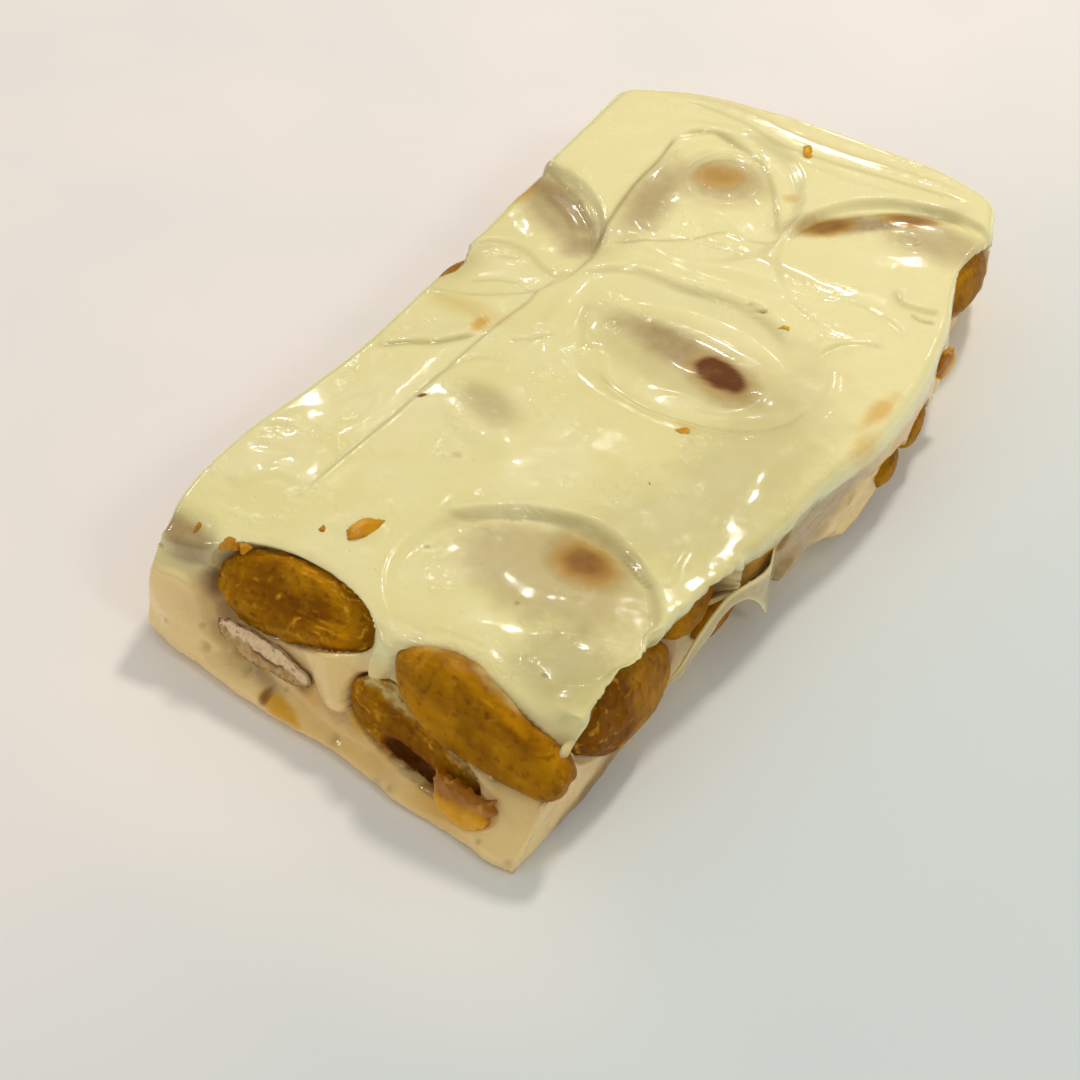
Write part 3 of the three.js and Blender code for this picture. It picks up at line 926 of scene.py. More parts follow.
# Creases of the top, from near to far; the left side of each path is the raised one.
TOP_CREASES = (
    Crease(((-13.8, -36.4), (-13.7, -30.3), (-13.3, -24.5), (-13, -20.6), (-12.7, -14), (-12.3, -7),
            (-11.9, -2), (-11.3, 2), (-11.4, 6), (-10.6, 10.4)), 0.2, 0.4, -0.22, 1.6, 0.36),
    Crease(((-22.3, -28), (-21.2, -27.1), (-19.4, -27)), 0.16, 0.7, 0.1, 1.2, 0.1),
    Crease(((-22.2, -31), (-20, -30.2), (-17.8, -29.9), (-18.4, -31.5), (-18.6, -33.2)),
           0.12, 0.8, 0, 2, 0.08),
    Crease(((-21.6, -35.4), (-19.4, -35.9), (-17.4, -33.2), (-14.3, -32.9)), 0.14, 0.9, 0.15, 1.5, 0.06),
    Crease(((-18.4, -22.4), (-18, -19.8), (-16.6, -18), (-15.5, -19.2), (-15.7, -22.6), (-17.2, -23.4)),
           0.12, 0.7, 0, 2, 0.06),
    Crease(((-20.6, -12.4), (-18.1, -10.1), (-15.6, -8.6), (-13.9, -6.6), (-12.8, -5)),
           0.34, 0.45, 0.3, 2, 0.7),
    Crease(((-12.6, -4.4), (-12.7, -3.2), (-14, -2.6), (-16, -1.8), (-18.7, -1.9), (-21, -1.2)),
           -0.22, 0.7, -0.12, 1.6, 0.1),
    Crease(((-9.5, -4.2), (-7.6, -3), (-5.8, -0.8)), 0.16, 0.4, 0.1, 1.5, 0.3),
    Crease(((-12.4, -12), (-11.6, -9.3), (-9.9, -7.7), (-7.4, -7.1)), 0.14, 0.4, 0, 2, 0.2),
    Crease(((-18.6, 1.7), (-17, 3.1), (-15.4, 4.2), (-13.4, 4.5), (-11.8, 4.6)), -0.14, 0.5, -0.2, 1.5, 0.1),
    Crease(((-22.2, 7), (-20.2, 9.3), (-17.1, 9.9), (-13.8, 8.6), (-11.6, 8.2), (-9.6, 10.4)),
           0.2, 0.5, 0.3, 2.2, 0.3),
    Crease(((-23.6, 24.4), (-20.1, 22.9), (-17.2, 21.5), (-14.7, 19.4), (-12.3, 17), (-10, 13.4)),
           0.3, 0.45, 0.35, 1.3, 0.7),
    Crease(((-21, 19.4), (-18.2, 18.6), (-15.5, 17), (-13.2, 14.6), (-11.6, 12.6)),
           0.16, 0.5, 0.1, 1.2, 0.3),
    Crease(((-9.9, 8), (-5.1, 12.3), (1.3, 13), (6.8, 13.8), (11.6, 12.7), (15.6, 10.4)),
           0.24, 0.75, 0.3, 2, 0.35),
    Crease(((-6, 6), (-4.6, 2.5), (-2.8, 0)), 0.16, 0.5, -0.25, 1.6, 0.2),
    Crease(((-0.7, -1.4), (2.3, -3.5), (6.8, -4.8), (10.4, -4.5), (14.6, -3.6), (18.4, -1.9), (20.3, 0.6),
            (21.2, 4.2)), 0.16, 0.5, -0.25, 1.6, 0.4),
    Crease(((6.6, -1.9), (9.6, -1), (12.5, -1.2), (14.9, -0.2), (16.3, 1.4), (16.6, 3.9)),
           -0.12, 0.4, -0.1, 1, 0),
    Crease(((18.4, 10.6), (19.4, 13.2), (21.4, 14.8), (23.8, 15.9)), 0.2, 0.5, 0.2, 1.6, 0.35),
    Crease(((24, 9.8), (23.4, 5.5), (23.4, 3.4)), -0.14, 0.5, 0, 2, 0),
    Crease(((-1.6, -28.4), (0.5, -27.6), (3.6, -25.4), (6.3, -23.6), (9.1, -22.6), (12.1, -22.1),
            (15.4, -22.6)), 0.2, 0.42, 0.3, 1.8, 0.22),
    Crease(((15.6, -23.6), (18.3, -25.1), (20.6, -26.2)), 0.24, 0.4, 0.15, 1.4, 0.6),
    Crease(((6, -40.8), (10.2, -39.8), (14.4, -40)), 0.12, 0.5, 0, 2, 0.2),
    Crease(((20.4, -20), (20.8, -22.6), (21.6, -25.6)), -0.2, 0.6, 0, 2, 0),
    Crease(((-13.1, 37), (-12.3, 32), (-12.2, 26), (-11.1, 18.4), (-10, 14.4)), 0.3, 0.5, 0.35, 1.6, 0.7),
    Crease(((6, 25.6), (3.4, 30.4), (0.3, 35), (-2.6, 38), (-5.3, 39.6), (-8.9, 40), (-11.6, 38.9),
            (-13, 36.6)), 0.22, 0.6, -0.35, 1.6, 0.55),
    Crease(((-9.8, 15), (-5.9, 17.7), (-2.9, 20.2), (-0.2, 24), (3.2, 24.6), (6.8, 26)),
           0.2, 0.45, -0.25, 1.6, 0.4),
    Crease(((-5.4, 25.7), (-1.2, 25.9), (2.2, 25)), -0.12, 0.5, 0, 2, 0),
    Crease(((24.4, 38.8), (20.7, 39.9), (18.1, 39.5), (15.6, 38.8), (13.6, 37.2), (11.8, 35.1), (10.2, 33.4),
            (8.4, 32), (7.4, 29.6), (6.2, 26.2)), 0.12, 0.4, 0, 1.2, 0.8),
    Crease(((-20, 41.4), (-14, 43.4), (-7.5, 42.9), (-2.2, 41.5), (3, 41.3), (8.6, 41.7), (13.3, 42.2),
            (18, 42.6), (22.6, 43)), 0.12, 0.5, 0.2, 2, 0.3),
    Crease(((-19, 43.6), (-11, 45.4), (-3, 44.6), (5, 44), (13, 44.4), (20, 44.2)),
           0.14, 0.7, 0.08, 1.4, 0.22),
    Crease(((-15, 39.6), (-8, 41.8), (0, 40.2), (8, 39.6), (14, 40.4)), 0.12, 0.8, 0.07, 1.6, 0.14),
    Crease(((20, 25.4), (22, 23.4), (24.4, 23.8), (26, 24.6)), 0.4, 0.7, 0.2, 1.2, 0.5),
    Crease(((23.4, 22.4), (24.8, 22.2), (26.2, 22.9)), 0.3, 0.4, 0, 2, 0.8),
    Crease(((14, 19), (18, 20.6), (21.6, 20), (25, 18.6)), 0.14, 0.6, 0.15, 2, 0.2),
    Crease(((8.2, 14.2), (9.6, 14.15), (11, 14)), 0.55, 0.3, 0, 2, 1.8),
)

# Tints of the top: almond under the skin, and painted shade on slopes, under edges and where the top is less
# lit
TOP_SPOTS = (
    Spot((11.3, 3.3), (3, 1.9), -16, BROWN, 1, 0.16, 0.1),
    Spot((11.5, 3.2), (3.8, 2.5), -16, AMBER, 0.3, 0.4),
    Spot((11.5, 3.2), (4.6, 3), -16, GREY, 0.78, 0.5),
    Spot((5.4, 4.6), (7.8, 2.6), -10, GREY, 0.76, 0.6),
    Spot((7, 4), (11, 5), -6, GREY, 0.22, 0.4),
    Spot((13.5, -26.2), (2.5, 1.9), -18, BROWN, 0.72, 0.55, 0.2),
    Spot((13.5, -26.2), (3.2, 2.5), -18, AMBER, 0.75, 0.55, 0.2),
    Spot((13.2, -26.6), (5.4, 3.6), -14, GREY, 0.7, 0.5),
    Spot((11.5, -29.6), (10, 5.2), -6, GREY, 0.42, 0.35, 0.2),
    Spot((-4.8, 32.2), (2, 1.4), 12, BROWN, 0.28, 0.8, 0.2),
    Spot((-4.6, 32), (2.6, 2.2), 12, AMBER, 0.6, 0.6, 0.2),
    Spot((-4.2, 31.8), (4.6, 4.2), 12, GREY, 0.6, 0.5),
    # painted shade on the left slope of the hollow over the far left almond
    Spot((-9.4, 25), (2.4, 7.4), 8, GREY, 0.6, 0.7),
    Spot((9.2, 31.7), (2.7, 1.3), 50, BROWN, 0.72, 0.5, 0.2),
    Spot((9.2, 31.5), (3, 1.6), 50, AMBER, 0.8, 0.4, 0.2),
    Spot((16.2, 37.6), (2.6, 1.1), 20, BROWN, 0.7, 0.5, 0.2),
    Spot((16.2, 37.3), (2.9, 1.4), 20, AMBER, 0.8, 0.4, 0.2),
    # painted shade under the edge of the far right shelf
    Spot((12.8, 34.4), (8.5, 1.9), 38, GREY, 0.8, 0.5),
    Spot((21, 35), (6, 3.2), 8, GREY, 0.5, 0.6),
    Spot((-17.6, 18.4), (8.8, 3.4), -32, GREY, 0.6, 0.5),
    Spot((-18.8, 20.2), (6.6, 1.7), -28, BROWN, 0.38, 0.6, 0.2),
    # painted shade on the right shoulder and at the near right corner, which are less lit
    Spot((20.4, -7), (6, 15), 6, SHADE, 0.3, 0.6, 0.3),
    Spot((-11.6, 13.8), (1.3, 2.6), -28, BROWN, 0.3, 0.6, 0.2),
    Spot((-22.8, 18.4), (1.6, 2.4), 0, AMBER, 0.5, 0.6),
    Spot((-5.6, -13.6), (3.6, 2.1), -24, GREY, 0.42, 0.6, 0.2),
    Spot((-13.4, -3.4), (0.8, 1.2), 0, AMBER, 0.75, 0.6),
    Spot((-15.6, -2), (4.6, 1.2), 4, AMBER, 0.25, 0.6),
    Spot((-12.1, -15.9), (0.36, 0.22), 40, BROWN, 1.6, 0.6),
    Spot((27, 7.4), (0.8, 2.8), -10, AMBER, 0.6, 0.7, 0.4),
    Spot((27.8, 2.6), (0.8, 2.2), -10, AMBER, 0.4, 0.7, 0.4),
    Spot((3.4, 33.9), (0.9, 0.8), 0, AMBER, 0.45, 0.5),
    Spot((-4.3, -21.2), (0.5, 0.4), 0, BROWN, 0.3, 0.6),
    Spot((0, -32.4), (0.22, 0.2), 0, BROWN, 0.5, 0.6),
    Spot((11, -34.1), (0.25, 0.2), 0, BROWN, 0.5, 0.6),
    Spot((17.9, -40.3), (0.28, 0.25), 0, BROWN, 0.5, 0.6),
    # painted shade in the dip at the near left corner
    Spot((-20.4, -43), (4, 1.5), -12, GREY, 0.8, 0.5),
    Spot((12.2, -4.9), (1.3, 0.9), 0, AMBER, 0.3, 0.6),
    Spot((19, -38.6), (5, 4.4), 0, SHADE, 0.48, 0.7, 0.3),
    Spot((17, -19), (6, 5), 0, SHADE, 0.26, 0.7, 0.3),
)

# Relief of the slanting cut end, in x and z: the left side of each path is the raised one.
END_CREASES = (
    Crease(((-13.8, 3.4), (-15.2, 5.2), (-16.3, 6.9), (-17.4, 8.4), (-19.2, 9.7), (-21.3, 10.7),
            (-24.4, 12)), -1.1, 1.3, 0.9, 8, 0.0),
    Crease(((5.4, 10.4), (8, 9.4), (11, 8.2), (14.4, 7), (18.6, 5.2)), -0.6, 0.7, 0, 3, 0),
    Crease(((20.5, 8.6), (22.2, 6), (23, 3)), -0.3, 0.8, 0, 3, 0),
    Crease(((-24.6, 13.4), (-22.6, 12.9), (-20, 11.9), (-17.6, 10.4), (-15.9, 8), (-14.4, 5.6), (-12.4, 4.2),
            (-9.6, 3.5)), 2.4, 1.7, 0, 3, 0),
)
END_MOUNDS = (
    Mound((-19, 12.6), (5.2, 1.7), -20, -0.5),
    Mound((-11, 4.9), (6.5, 1.7), -12, -0.4),
    Mound((-9, 1.2), (10, 1.4), -3, 0.7),
    Mound((5, 0.9), (7, 1.1), -2, 0.6),
    Mound((19, 2), (5, 2.2), 6, 0.6),
    Mound((-21, 6.5), (2.6, 4), 35, 0.6),
)
END_PITS = ((-15.8, 3.2, 0.5), (-12.9, 3.8, 0.42), (-10.9, 3.1, 0.45), (0.4, 1.7, 0.5), (6.2, 0.9, 0.62),
            (7.8, 1.3, 0.36), (14.3, 0.5, 0.4), (21.2, 1.3, 0.45), (-16.4, 5.2, 0.3), (-20.8, 3.4, 0.3),
            (-6.2, 3.4, 0.3), (18, 1.8, 0.3))
# Tints of the cut end, in x and z: what shows through, painted shade down the valley at the left, and
# painted shadow beside the run of nougat
END_SPOTS = (
    # painted shade down the valley
    Spot((-20.6, 12.1), (4.2, 1.2), -20, GREY, 1, 0.45),
    Spot((-16.6, 9.2), (2.4, 1.1), -52, GREY, 0.95, 0.45),
    Spot((-14.3, 6), (2.2, 0.9), -50, GREY, 0.8, 0.5),
    Spot((-10.2, 3.7), (3.8, 0.7), -14, GREY, 0.7, 0.5),
    Spot((-23.4, 12), (0.7, 0.6), 0, BROWN, 0.9, 0.6, 0.3),
    Spot((-23.8, 7.4), (0.5, 0.4), 0, BROWN, 0.6, 0.6, 0.3),
    Spot((-5.8, 1.9), (2.6, 0.75), -8, AMBER, 0.95, 0.25, 0.25),
    Spot((-7.9, 2.2), (0.45, 0.7), -20, BROWN, 0.75, 0.4, 0.2),
    Spot((-4.4, 4.4), (0.9, 0.55), 0, BROWN, 0.6, 0.7, 0.3),
    # painted shadow round the run of nougat, on both its sides
    Spot((-0.6, 6.3), (4.6, 2.6), -20, GREY, 0.75, 0.4),
    Spot((2.4, 5.6), (1.5, 2.6), 18, AMBER, 0.9, 0.5),
    Spot((-4.2, 4.6), (2.6, 1), -20, AMBER, 0.7, 0.5),
    Spot((4, 3.4), (3, 1), -20, AMBER, 0.45, 0.6),
    Spot((13, 2.2), (3.4, 1.4), 0, AMBER, 0.5, 0.6),
    Spot((1, 2.6), (7, 1.7), -6, AMBER, 0.32, 0.5, 0.3),
    Spot((11.6, 7.9), (7.2, 0.5), -23, GREY, 0.35, 0.6),
    Spot((22.6, 9.6), (1.4, 3.4), 20, GREY, 0.5, 0.6),
)

# The right-hand side, in y and z: hollows that lay almond open, what shows through, and painted shadow along
# the lip's lower edge.
FLANK_HOLLOWS = (
    Oval((-16.2, 9.2), (2.6, 1.5), 52),
    Oval((-10.4, 9.0), (1.0, 0.45), 40),
)
FLANK_SPOTS = (
    Spot((-39.5, 1.2), (6.5, 1.3), 6, BROWN, 0.7, 0.6, 0.4),
    Spot((-16.2, 9.2), (2.5, 1.4), 52, BROWN, 0.8, 0.3, 0.2),
    Spot((-14.4, 8.8), (4.6, 2.2), 40, AMBER, 0.7, 0.3, 0.2),
    Spot((-10.4, 9), (1, 0.5), 40, BROWN, 0.5, 0.5, 0.2),
    Spot((-13.8, 6.2), (1.1, 0.7), 40, BROWN, 0.5, 0.5, 0.2),
    Spot((-6, 7.6), (11, 3.4), 16, GREY, 0.75, 0.4, 0.2),
    Spot((-12, 6), (5, 3.5), 10, GREY, 0.5, 0.5),
    Spot((-5.6, 10), (0.5, 0.3), 0, BROWN, 0.5, 0.7),
    Spot((0.7, 6), (0.8, 0.4), 30, BROWN, 0.35, 0.7),
    # painted shadow along the lip's lower edge, over the near almond
    Spot((-33.6, 12.9), (6.5, 0.9), 0, BROWN, 0.35, 0.7, 0.5),
    Spot((-28, 12.2), (2.4, 0.7), 0, BROWN, 0.4, 0.7, 0.5),
    Spot((10, 8), (6, 1.6), 0, AMBER, 0.6, 0.6, 0.4),
    Spot((34, 10), (9, 3), 0, GREY, 0.4, 0.6, 0.4),
)

# The left-hand side, in y and z, and the far end, in x and z: what shows through.
LEFT_SPOTS = (
    Spot((-8, 5), (5.5, 2.2), 14, GREY, 0.5, 0.6, 0.4),
    Spot((-6, 4.4), (2, 0.8), 20, AMBER, 0.7, 0.5, 0.4),
    Spot((14, 7.4), (3.4, 1.8), -20, GREY, 0.5, 0.6, 0.4),
    Spot((36.5, 4.2), (2.6, 1.1), 10, AMBER, 0.8, 0.5, 0.4),
    Spot((-38, 9.6), (3.2, 1.2), -12, AMBER, 0.6, 0.6, 0.4),
)
FAR_SPOTS = (
    Spot((1.4, 4.6), (2.8, 1.2), 12, AMBER, 0.8, 0.5, 0.4),
    Spot((-18.8, 9.4), (3, 1.8), -18, GREY, 0.5, 0.6, 0.4),
    Spot((20, 3.4), (1.4, 0.7), 0, BROWN, 0.5, 0.6, 0.4),
)


@dataclass(frozen=True)
class Run:
    """A drop of nougat that ran down the cut end: a round-nosed swelling along a line in x and z."""

    path: tuple[Pair, ...]
    radius: Pair
    rise: Pair

    LINE_POINTS = 24
    BOW = (1.6, 0.55)            # power of the bow at the start and at the nose

    def lift(self, x: Array, z: Array) -> Array:
        """Works out the rise times a bow: 1 less the squared distance in radii, to a power.

        Args:
            x: places across the cut end.
            z: heights over the table.

        Returns:
            How far the swelling stands out.
        """
        share = np.linspace(0, 1, self.LINE_POINTS)
        line = Spline(self.path).at(share)
        apart = np.linalg.norm(np.stack([x, z], -1)[:, None] - line, axis=-1) / mix(*self.radius, share)
        nearest = apart.argmin(1)
        distance = apart[np.arange(len(apart)), nearest]
        bow = np.maximum(1 - distance**2, 0) ** mix(*self.BOW, share[nearest])
        return mix(*self.rise, share[nearest]) * bow


RUNS = (
    Run(((-2.2, 9.2), (-1.3, 7.4), (-0.4, 5.9)), (4.2, 1.7), (0.9, 1.35)),
    Run(((4.4, 14.4), (4, 12.4), (3.3, 10.8), (3.2, 9.7)), (2.4, 0.95), (0.6, 1.3)),
)


@dataclass
class NougatBody:
    """The nougat's skin: its cell counts, and the methods that lay it out, shape and tint it."""

    across: int = 176
    lengthwise: int = 300
    up: int = 46
    side_wave: float = 0.14
    foot_wave: float = 0.35
    lip_ragged: float = 0.55
    lip_jag: float = 0.7
    shoulder: float = 1.5        # how far the top slopes off at the right
    edge_inset: float = 0.8      # how far in from the edges the top's relief is whole
    flank_wrinkle: float = 0.32
    hollow_depth: float = 1.3
    torn_depth: float = 0.75
    pit_depth: float = 0.4
    corner_reach: float = 4.0    # cells round an upright edge that are rounded
    corner_rounds: int = 12
    settled_rounds: int = 14
    relaxing: float = 0.9
    cells: Array = field(init=False)
    quads: Array = field(init=False)

    def __post_init__(self) -> None:
        """Numbers the vertices of the box's top and four sides, each vertex once."""
        a, b, c = self.across, self.lengthwise, self.up
        i, j, k = np.arange(a + 1), np.arange(b + 1), np.arange(c + 1)

        def lattice(first: Array, second: Array, order: str, fixed: int) -> Array:
            """Keys every vertex of one side.

            Args:
                first: cell numbers of the rows.
                second: cell numbers of the columns.
                order: the letters of the row's, the column's and the fixed axis.
                fixed: cell number on the fixed axis.

            Returns:
                The keys, in rows of the first axis.
            """
            one, two = np.meshgrid(first, second, indexing="ij")
            place = dict(zip(order, (one, two, np.full_like(one, fixed))))
            return place["i"] + (a + 1) * (place["j"] + (b + 1) * place["k"])

        sides = [(lattice(i, j, "ijk", c), False), (lattice(i, k, "ikj", 0), False),
                 (lattice(i, k, "ikj", b), True), (lattice(j, k, "jki", 0), True),
                 (lattice(j, k, "jki", a), False)]
        keys, numbers = np.unique(np.concatenate([keys.ravel() for keys, _ in sides]), return_inverse=True)
        counts = np.cumsum([0] + [keys_of.size for keys_of, _ in sides])
        self.quads = np.concatenate([
            grid_quads(numbers[counts[n]:counts[n + 1]].reshape(side.shape), flip)
            for n, (side, flip) in enumerate(sides)])
        self.cells = np.stack([keys % (a + 1), keys // (a + 1) % (b + 1), keys // ((a + 1) * (b + 1))], -1)

    @staticmethod
    def crowded(cell: Array, count: int) -> Array:
        """Returns the share across `count` cells, less a sine that crowds them at both ends."""
        share = cell / count
        return share - EDGE_CROWDING * np.sin(2 * math.pi * share) / (2 * math.pi)

    @classmethod
    def top_height(cls, x: Array, y: Array) -> Array:
        """Adds up the plain height, the soft shapes and the slope of the right shoulder.

        Args:
            x: places across.
            y: places along.

        Returns:
            The height of the top, without its creases.
        """
        height = HEIGHT + sum(shape.lift(x, y) for shape in TOP_SHAPES)
        shoulder = cls.shoulder * np.exp(-(((y - 5) / 24) ** 2)) * smooth((x - 21) / 9)
        return height - shoulder

    @staticmethod
    def edge_drop(u: Array, v: Array) -> Array:
        """Works out the rounded edge's drop: its radius less the height of its quarter circle.

        Args:
            u: shares across.
            v: shares along.

        Returns:
            How far the skin lies under the top's height.
        """
        thin = smooth((u - 0.7) / 0.2) * smooth((0.34 - v) / 0.12)
        radius = mix(SOFT_EDGE, THIN_EDGE, thin) + FAR_EDGE * smooth((v - 0.8) / 0.2)
        a = clamp(1 - np.minimum(u, 1 - u) * SLAB_WIDTH / radius)
        b = clamp(1 - np.minimum(v, 1 - v) * SLAB_LENGTH / radius)
        return radius * (1 - np.sqrt(np.maximum(0, 1 - a * a - b * b)))

    def lay_out(self) -> tuple[Array, Array]:
        """Lays the skin out between the foot and the rim.

        The sides are straight between the two, but on the right the rim's outline holds down to
        the lip's end and turns under it. The foot is drawn in by a quarter circle.

        Returns:
            The vertices, and how far each one is shaded by a crease.
        """
        u = self.crowded(self.cells[:, 0], self.across)
        v = self.crowded(self.cells[:, 1], self.lengthwise)
        w = self.cells[:, 2] / self.up
        rim, foot = RIM.fill(u, v), FOOT.fill(u, v)
        x, y = rim.T
        top = self.top_height(x, y)
        shade = np.zeros_like(x)
        inside = np.minimum(np.minimum(u, 1 - u) * SLAB_WIDTH, np.minimum(v, 1 - v) * SLAB_LENGTH)
        inner = smooth(inside / self.edge_inset)
        for crease in TOP_CREASES:
            rise, shaded = crease.lift(x, y)
            top += rise * mix(0.35, 1.0, inner)
            shade = np.maximum(shade, shaded)
        top += sum(ring.lift(x, y) for ring in TOP_RINGS) * inner
        z = w * (top - self.edge_drop(u, v))
        stations, ends = np.array(LIP_END).T
        lip_end = np.interp(y, stations, ends)
        along_y = np.stack([x * 0, y, y * 0], -1)
        ragged = Noise(5, 2.2).at(along_y) * self.lip_ragged
        lip = smooth((z - lip_end - ragged) / LIP_TURN + 0.5)
        brink = smooth((u - 0.93) / 0.07)
        jag = (Noise(6, 2.4, 3).at(along_y) - 0.25) * brink
        rim[:, 0] += self.lip_jag * jag * smooth((-13 - y) / 6) * smooth((y + 43) / 4)
        right = (self.cells[:, 0] == self.across) & (w < 1)
        lip_share = np.where(right, smooth(np.minimum(v, 1 - v) / LIP_FADE), 0)
        share = mix(w, lip, lip_share)
        plan = mix(foot, rim, share[:, None])
        middle = np.array([0.0, -2.0])
        radius = mix(FOOT_ROUND, NEAR_FOOT_ROUND, smooth((-40 - plan[:, 1]) / 5))
        inset = radius * (1 - np.sqrt(np.maximum(0, 1 - clamp(1 - z / radius) ** 2)))
        wave = self.foot_wave * Noise(12, 3.2, 3).at(np.column_stack([plan, 0 * z])) * smooth((5 - z) / 5)
        plan -= unit(plan - middle) * (inset + wave)[:, None]
        return np.column_stack([plan, z]), shade

    def shape_end(self, points: Array, normals: Array, w: Array) -> tuple[Array, Array]:
        """Moves the cut end in and out along its normals.

        Args:
            points: the skin's vertices.
            normals: their normals.
            w: the share of each vertex's height, 1 on the top.

        Returns:
            The vertices, and how far each one is painted as shaded, by a crease or a pit.
        """
        on_end = np.where(self.cells[:, 1] == 0, 1.0, 0.0) * smooth((1 - w) * 6) * smooth(w * 8)
        x, z = points[:, 0], points[:, 2]
        out = sum(mound.lift(x, z) for mound in END_MOUNDS)
        shade = np.zeros_like(x)
        for crease in END_CREASES:
            rise, shaded = crease.lift(x, z)
            out += rise
            shade = np.maximum(shade, shaded)
        for pit_x, pit_z, radius in END_PITS:
            dent = Oval((pit_x, pit_z), (radius, radius)).radius(x, z)
            out -= 0.5 * radius * np.exp(-(dent**4))
            # painted shade in each pit
            shade = np.maximum(shade, 0.5 * np.exp(-(dent**2)))
        return points + (out * on_end)[:, None] * normals, shade * on_end

    def shape_flank(self, points: Array, normals: Array) -> Array:
        """Sinks the right-hand side under its top layer.

        The dent is a soft step below the layer's end and another above the lip's end, wrinkled by
        noise. The hollows are bells to the fourth power.

        Args:
            points: the skin's vertices.
            normals: their normals.

        Returns:
            The moved vertices.
        """
        y, z = points[:, 1], points[:, 2]
        waver = Noise(8, 2.6, 2).at(points * (0, 1, 0))
        layer = np.interp(y, *np.array(LAYER_END).T) + 0.5 * waver
        lip = np.interp(y, *np.array(LIP_END).T)
        along = smooth((y + 19) / 4) * smooth((13 - y) / 10)
        sunk = along * smooth((layer - z) / 0.8) * smooth((z - lip - 0.3) / 1.6)
        wrinkle = Noise(9, 1.7, 3).at(points * (0.3, 0.6, 1.2))
        under = along * smooth((layer - z) / 0.8) * smooth((z - lip) / 0.8)
        out = self.flank_wrinkle * wrinkle * under - (0.25 + 0.85 * smooth((-8 - y) / 5)) * sunk
        for hollow in FLANK_HOLLOWS:
            out -= self.hollow_depth * np.exp(-(hollow.radius(y, z) ** 4))
        side = (self.cells[:, 0] == self.across) & (self.cells[:, 2] < self.up)
        return points + (out * side)[:, None] * normals

    def build(self) -> bpy.types.Object:
        """Makes the nougat piece.

        Returns:
            The new object, with the attributes brown, grey, amber, shade and cut.
        """
        points, shade = self.lay_out()
        w = self.cells[:, 2] / self.up
        normals = vertex_normals(points, self.quads)
        points, end_shade = self.shape_end(points, normals, w)
        points = self.shape_flank(points, normals)
        off_table = smooth(points[:, 2] / 1.5)
        wave = self.side_wave * Noise(3, 4.5, 3).at(points) * (w < 1) * off_table
        points = points + wave[:, None] * normals
        points = points + self.cut_relief(points, w)[:, None] * normals
        points = self.round_corners(points)
        ripple = Noise(13, 2.6, 3).at(points) * 0.035 + Noise(15, 7.0, 2).at(points) * 0.09
        points[:, 2] += ripple * (w == 1)
        on_end = (self.cells[:, 1] == 0) | ((w == 1) & (points[:, 1] < -41.5))
        clean = np.ones(len(points))
        for run in RUNS:
            lift = run.lift(points[:, 0], points[:, 2]) * on_end * smooth((14.2 - points[:, 2]) / 1.4)
            points = points + lift[:, None] * unit(np.array([0.0, -0.9, 0.3]))
            clean *= 1 - smooth(lift / 0.5)
        for almond in ALMONDS:
            points = almond.press_into(points)
        settled = np.max([almond.shoulder(points) for almond in ALMONDS if almond.wrapped], 0)
        points = relaxed(points, self.quads, self.relaxing * settled * (w > 0.2), self.settled_rounds)
        for chip in CHIPS:
            points = chip.clear_bed(points)
        tints = self.tint(points, w)
        for tint in Tint:
            tints[tint.value] = tints[tint.value] * clean
        # painted shade of the top's creases and of the cut end's creases and pits
        dark = np.maximum(shade * (w == 1), end_shade)
        tints[SHADE.value] = np.maximum(tints[SHADE.value], dark)
        ground = self.ground(points)
        return make_piece("nougat_skin", ground[0], [self.quads, *ground[1]], ("nougat",),
                          {key: np.concatenate([values, np.zeros(len(ground[0]) - len(values))])
                           for key, values in tints.items()})

    def cut_relief(self, points: Array, w: Array) -> Array:
        """Works out the torn relief and the pits of the sides that were cut.

        Layers of a terraced noise, 3 to a unit, less a bell where a finer noise is high.

        Args:
            points: the skin's vertices.
            w: the share of each vertex's height, 1 on the top.

        Returns:
            How far each vertex moves out.
        """
        i, j, _ = self.cells.T
        hidden = ((i == 0) & (j > 12)) | (j == self.lengthwise) | ((i == self.across) & (points[:, 1] > 20))
        where = hidden * smooth((1 - w) * 5) * smooth(points[:, 2] / 1.5)
        layers, _ = terraced(Noise(31, 6.5, 3).at(points * (1.0, 1.0, 1.8)), 3.0)
        pits = smooth((Noise(33, 1.3, 2).at(points) - 0.5) * 6)
        return where * (self.torn_depth * layers - self.pit_depth * pits)

    def round_corners(self, points: Array) -> Array:
        """Rounds the four upright edges, and keeps the foot on the table.

        Args:
            points: the skin's vertices.

        Returns:
            The moved vertices.
        """
        i, j, k = self.cells.T
        across = np.minimum(i, self.across - i)
        lengthwise = np.minimum(j, self.lengthwise - j)
        near = np.exp(-(((across + lengthwise) / self.corner_reach) ** 2))
        points = relaxed(points, self.quads, self.relaxing * near * (k < self.up), self.corner_rounds)
        points[k == 0, 2] = 0
        return points

    def ground(self, points: Array) -> tuple[Array, list[Array]]:
        """Closes the underside with two rings drawn in from the foot and one flat face.

        Args:
            points: the skin's vertices, open at the table.

        Returns:
            All vertices, and the new faces.
        """
        a, b = self.across, self.lengthwise
        i, j, k = self.cells.T
        order = np.select([j == 0, i == a, j == b], [i, a + j, 2 * a + b - i], 2 * a + 2 * b - j)
        foot = np.flatnonzero(k == 0)
        foot = foot[np.argsort(order[foot])]
        middle = points[foot].mean(0)
        rings = [foot]
        extra = []
        for inset in (0.6, 2.0):
            edge = points[foot]
            inner = edge - unit(edge - middle) * inset
            inner[:, 2] = 0
            rings.append(len(points) + sum(map(len, extra)) + np.arange(len(foot)))
            extra.append(inner)
        quads = grid_quads(np.stack(rings), closed=True)
        return np.concatenate([points, *extra]), [quads, rings[-1][None, ::-1]]

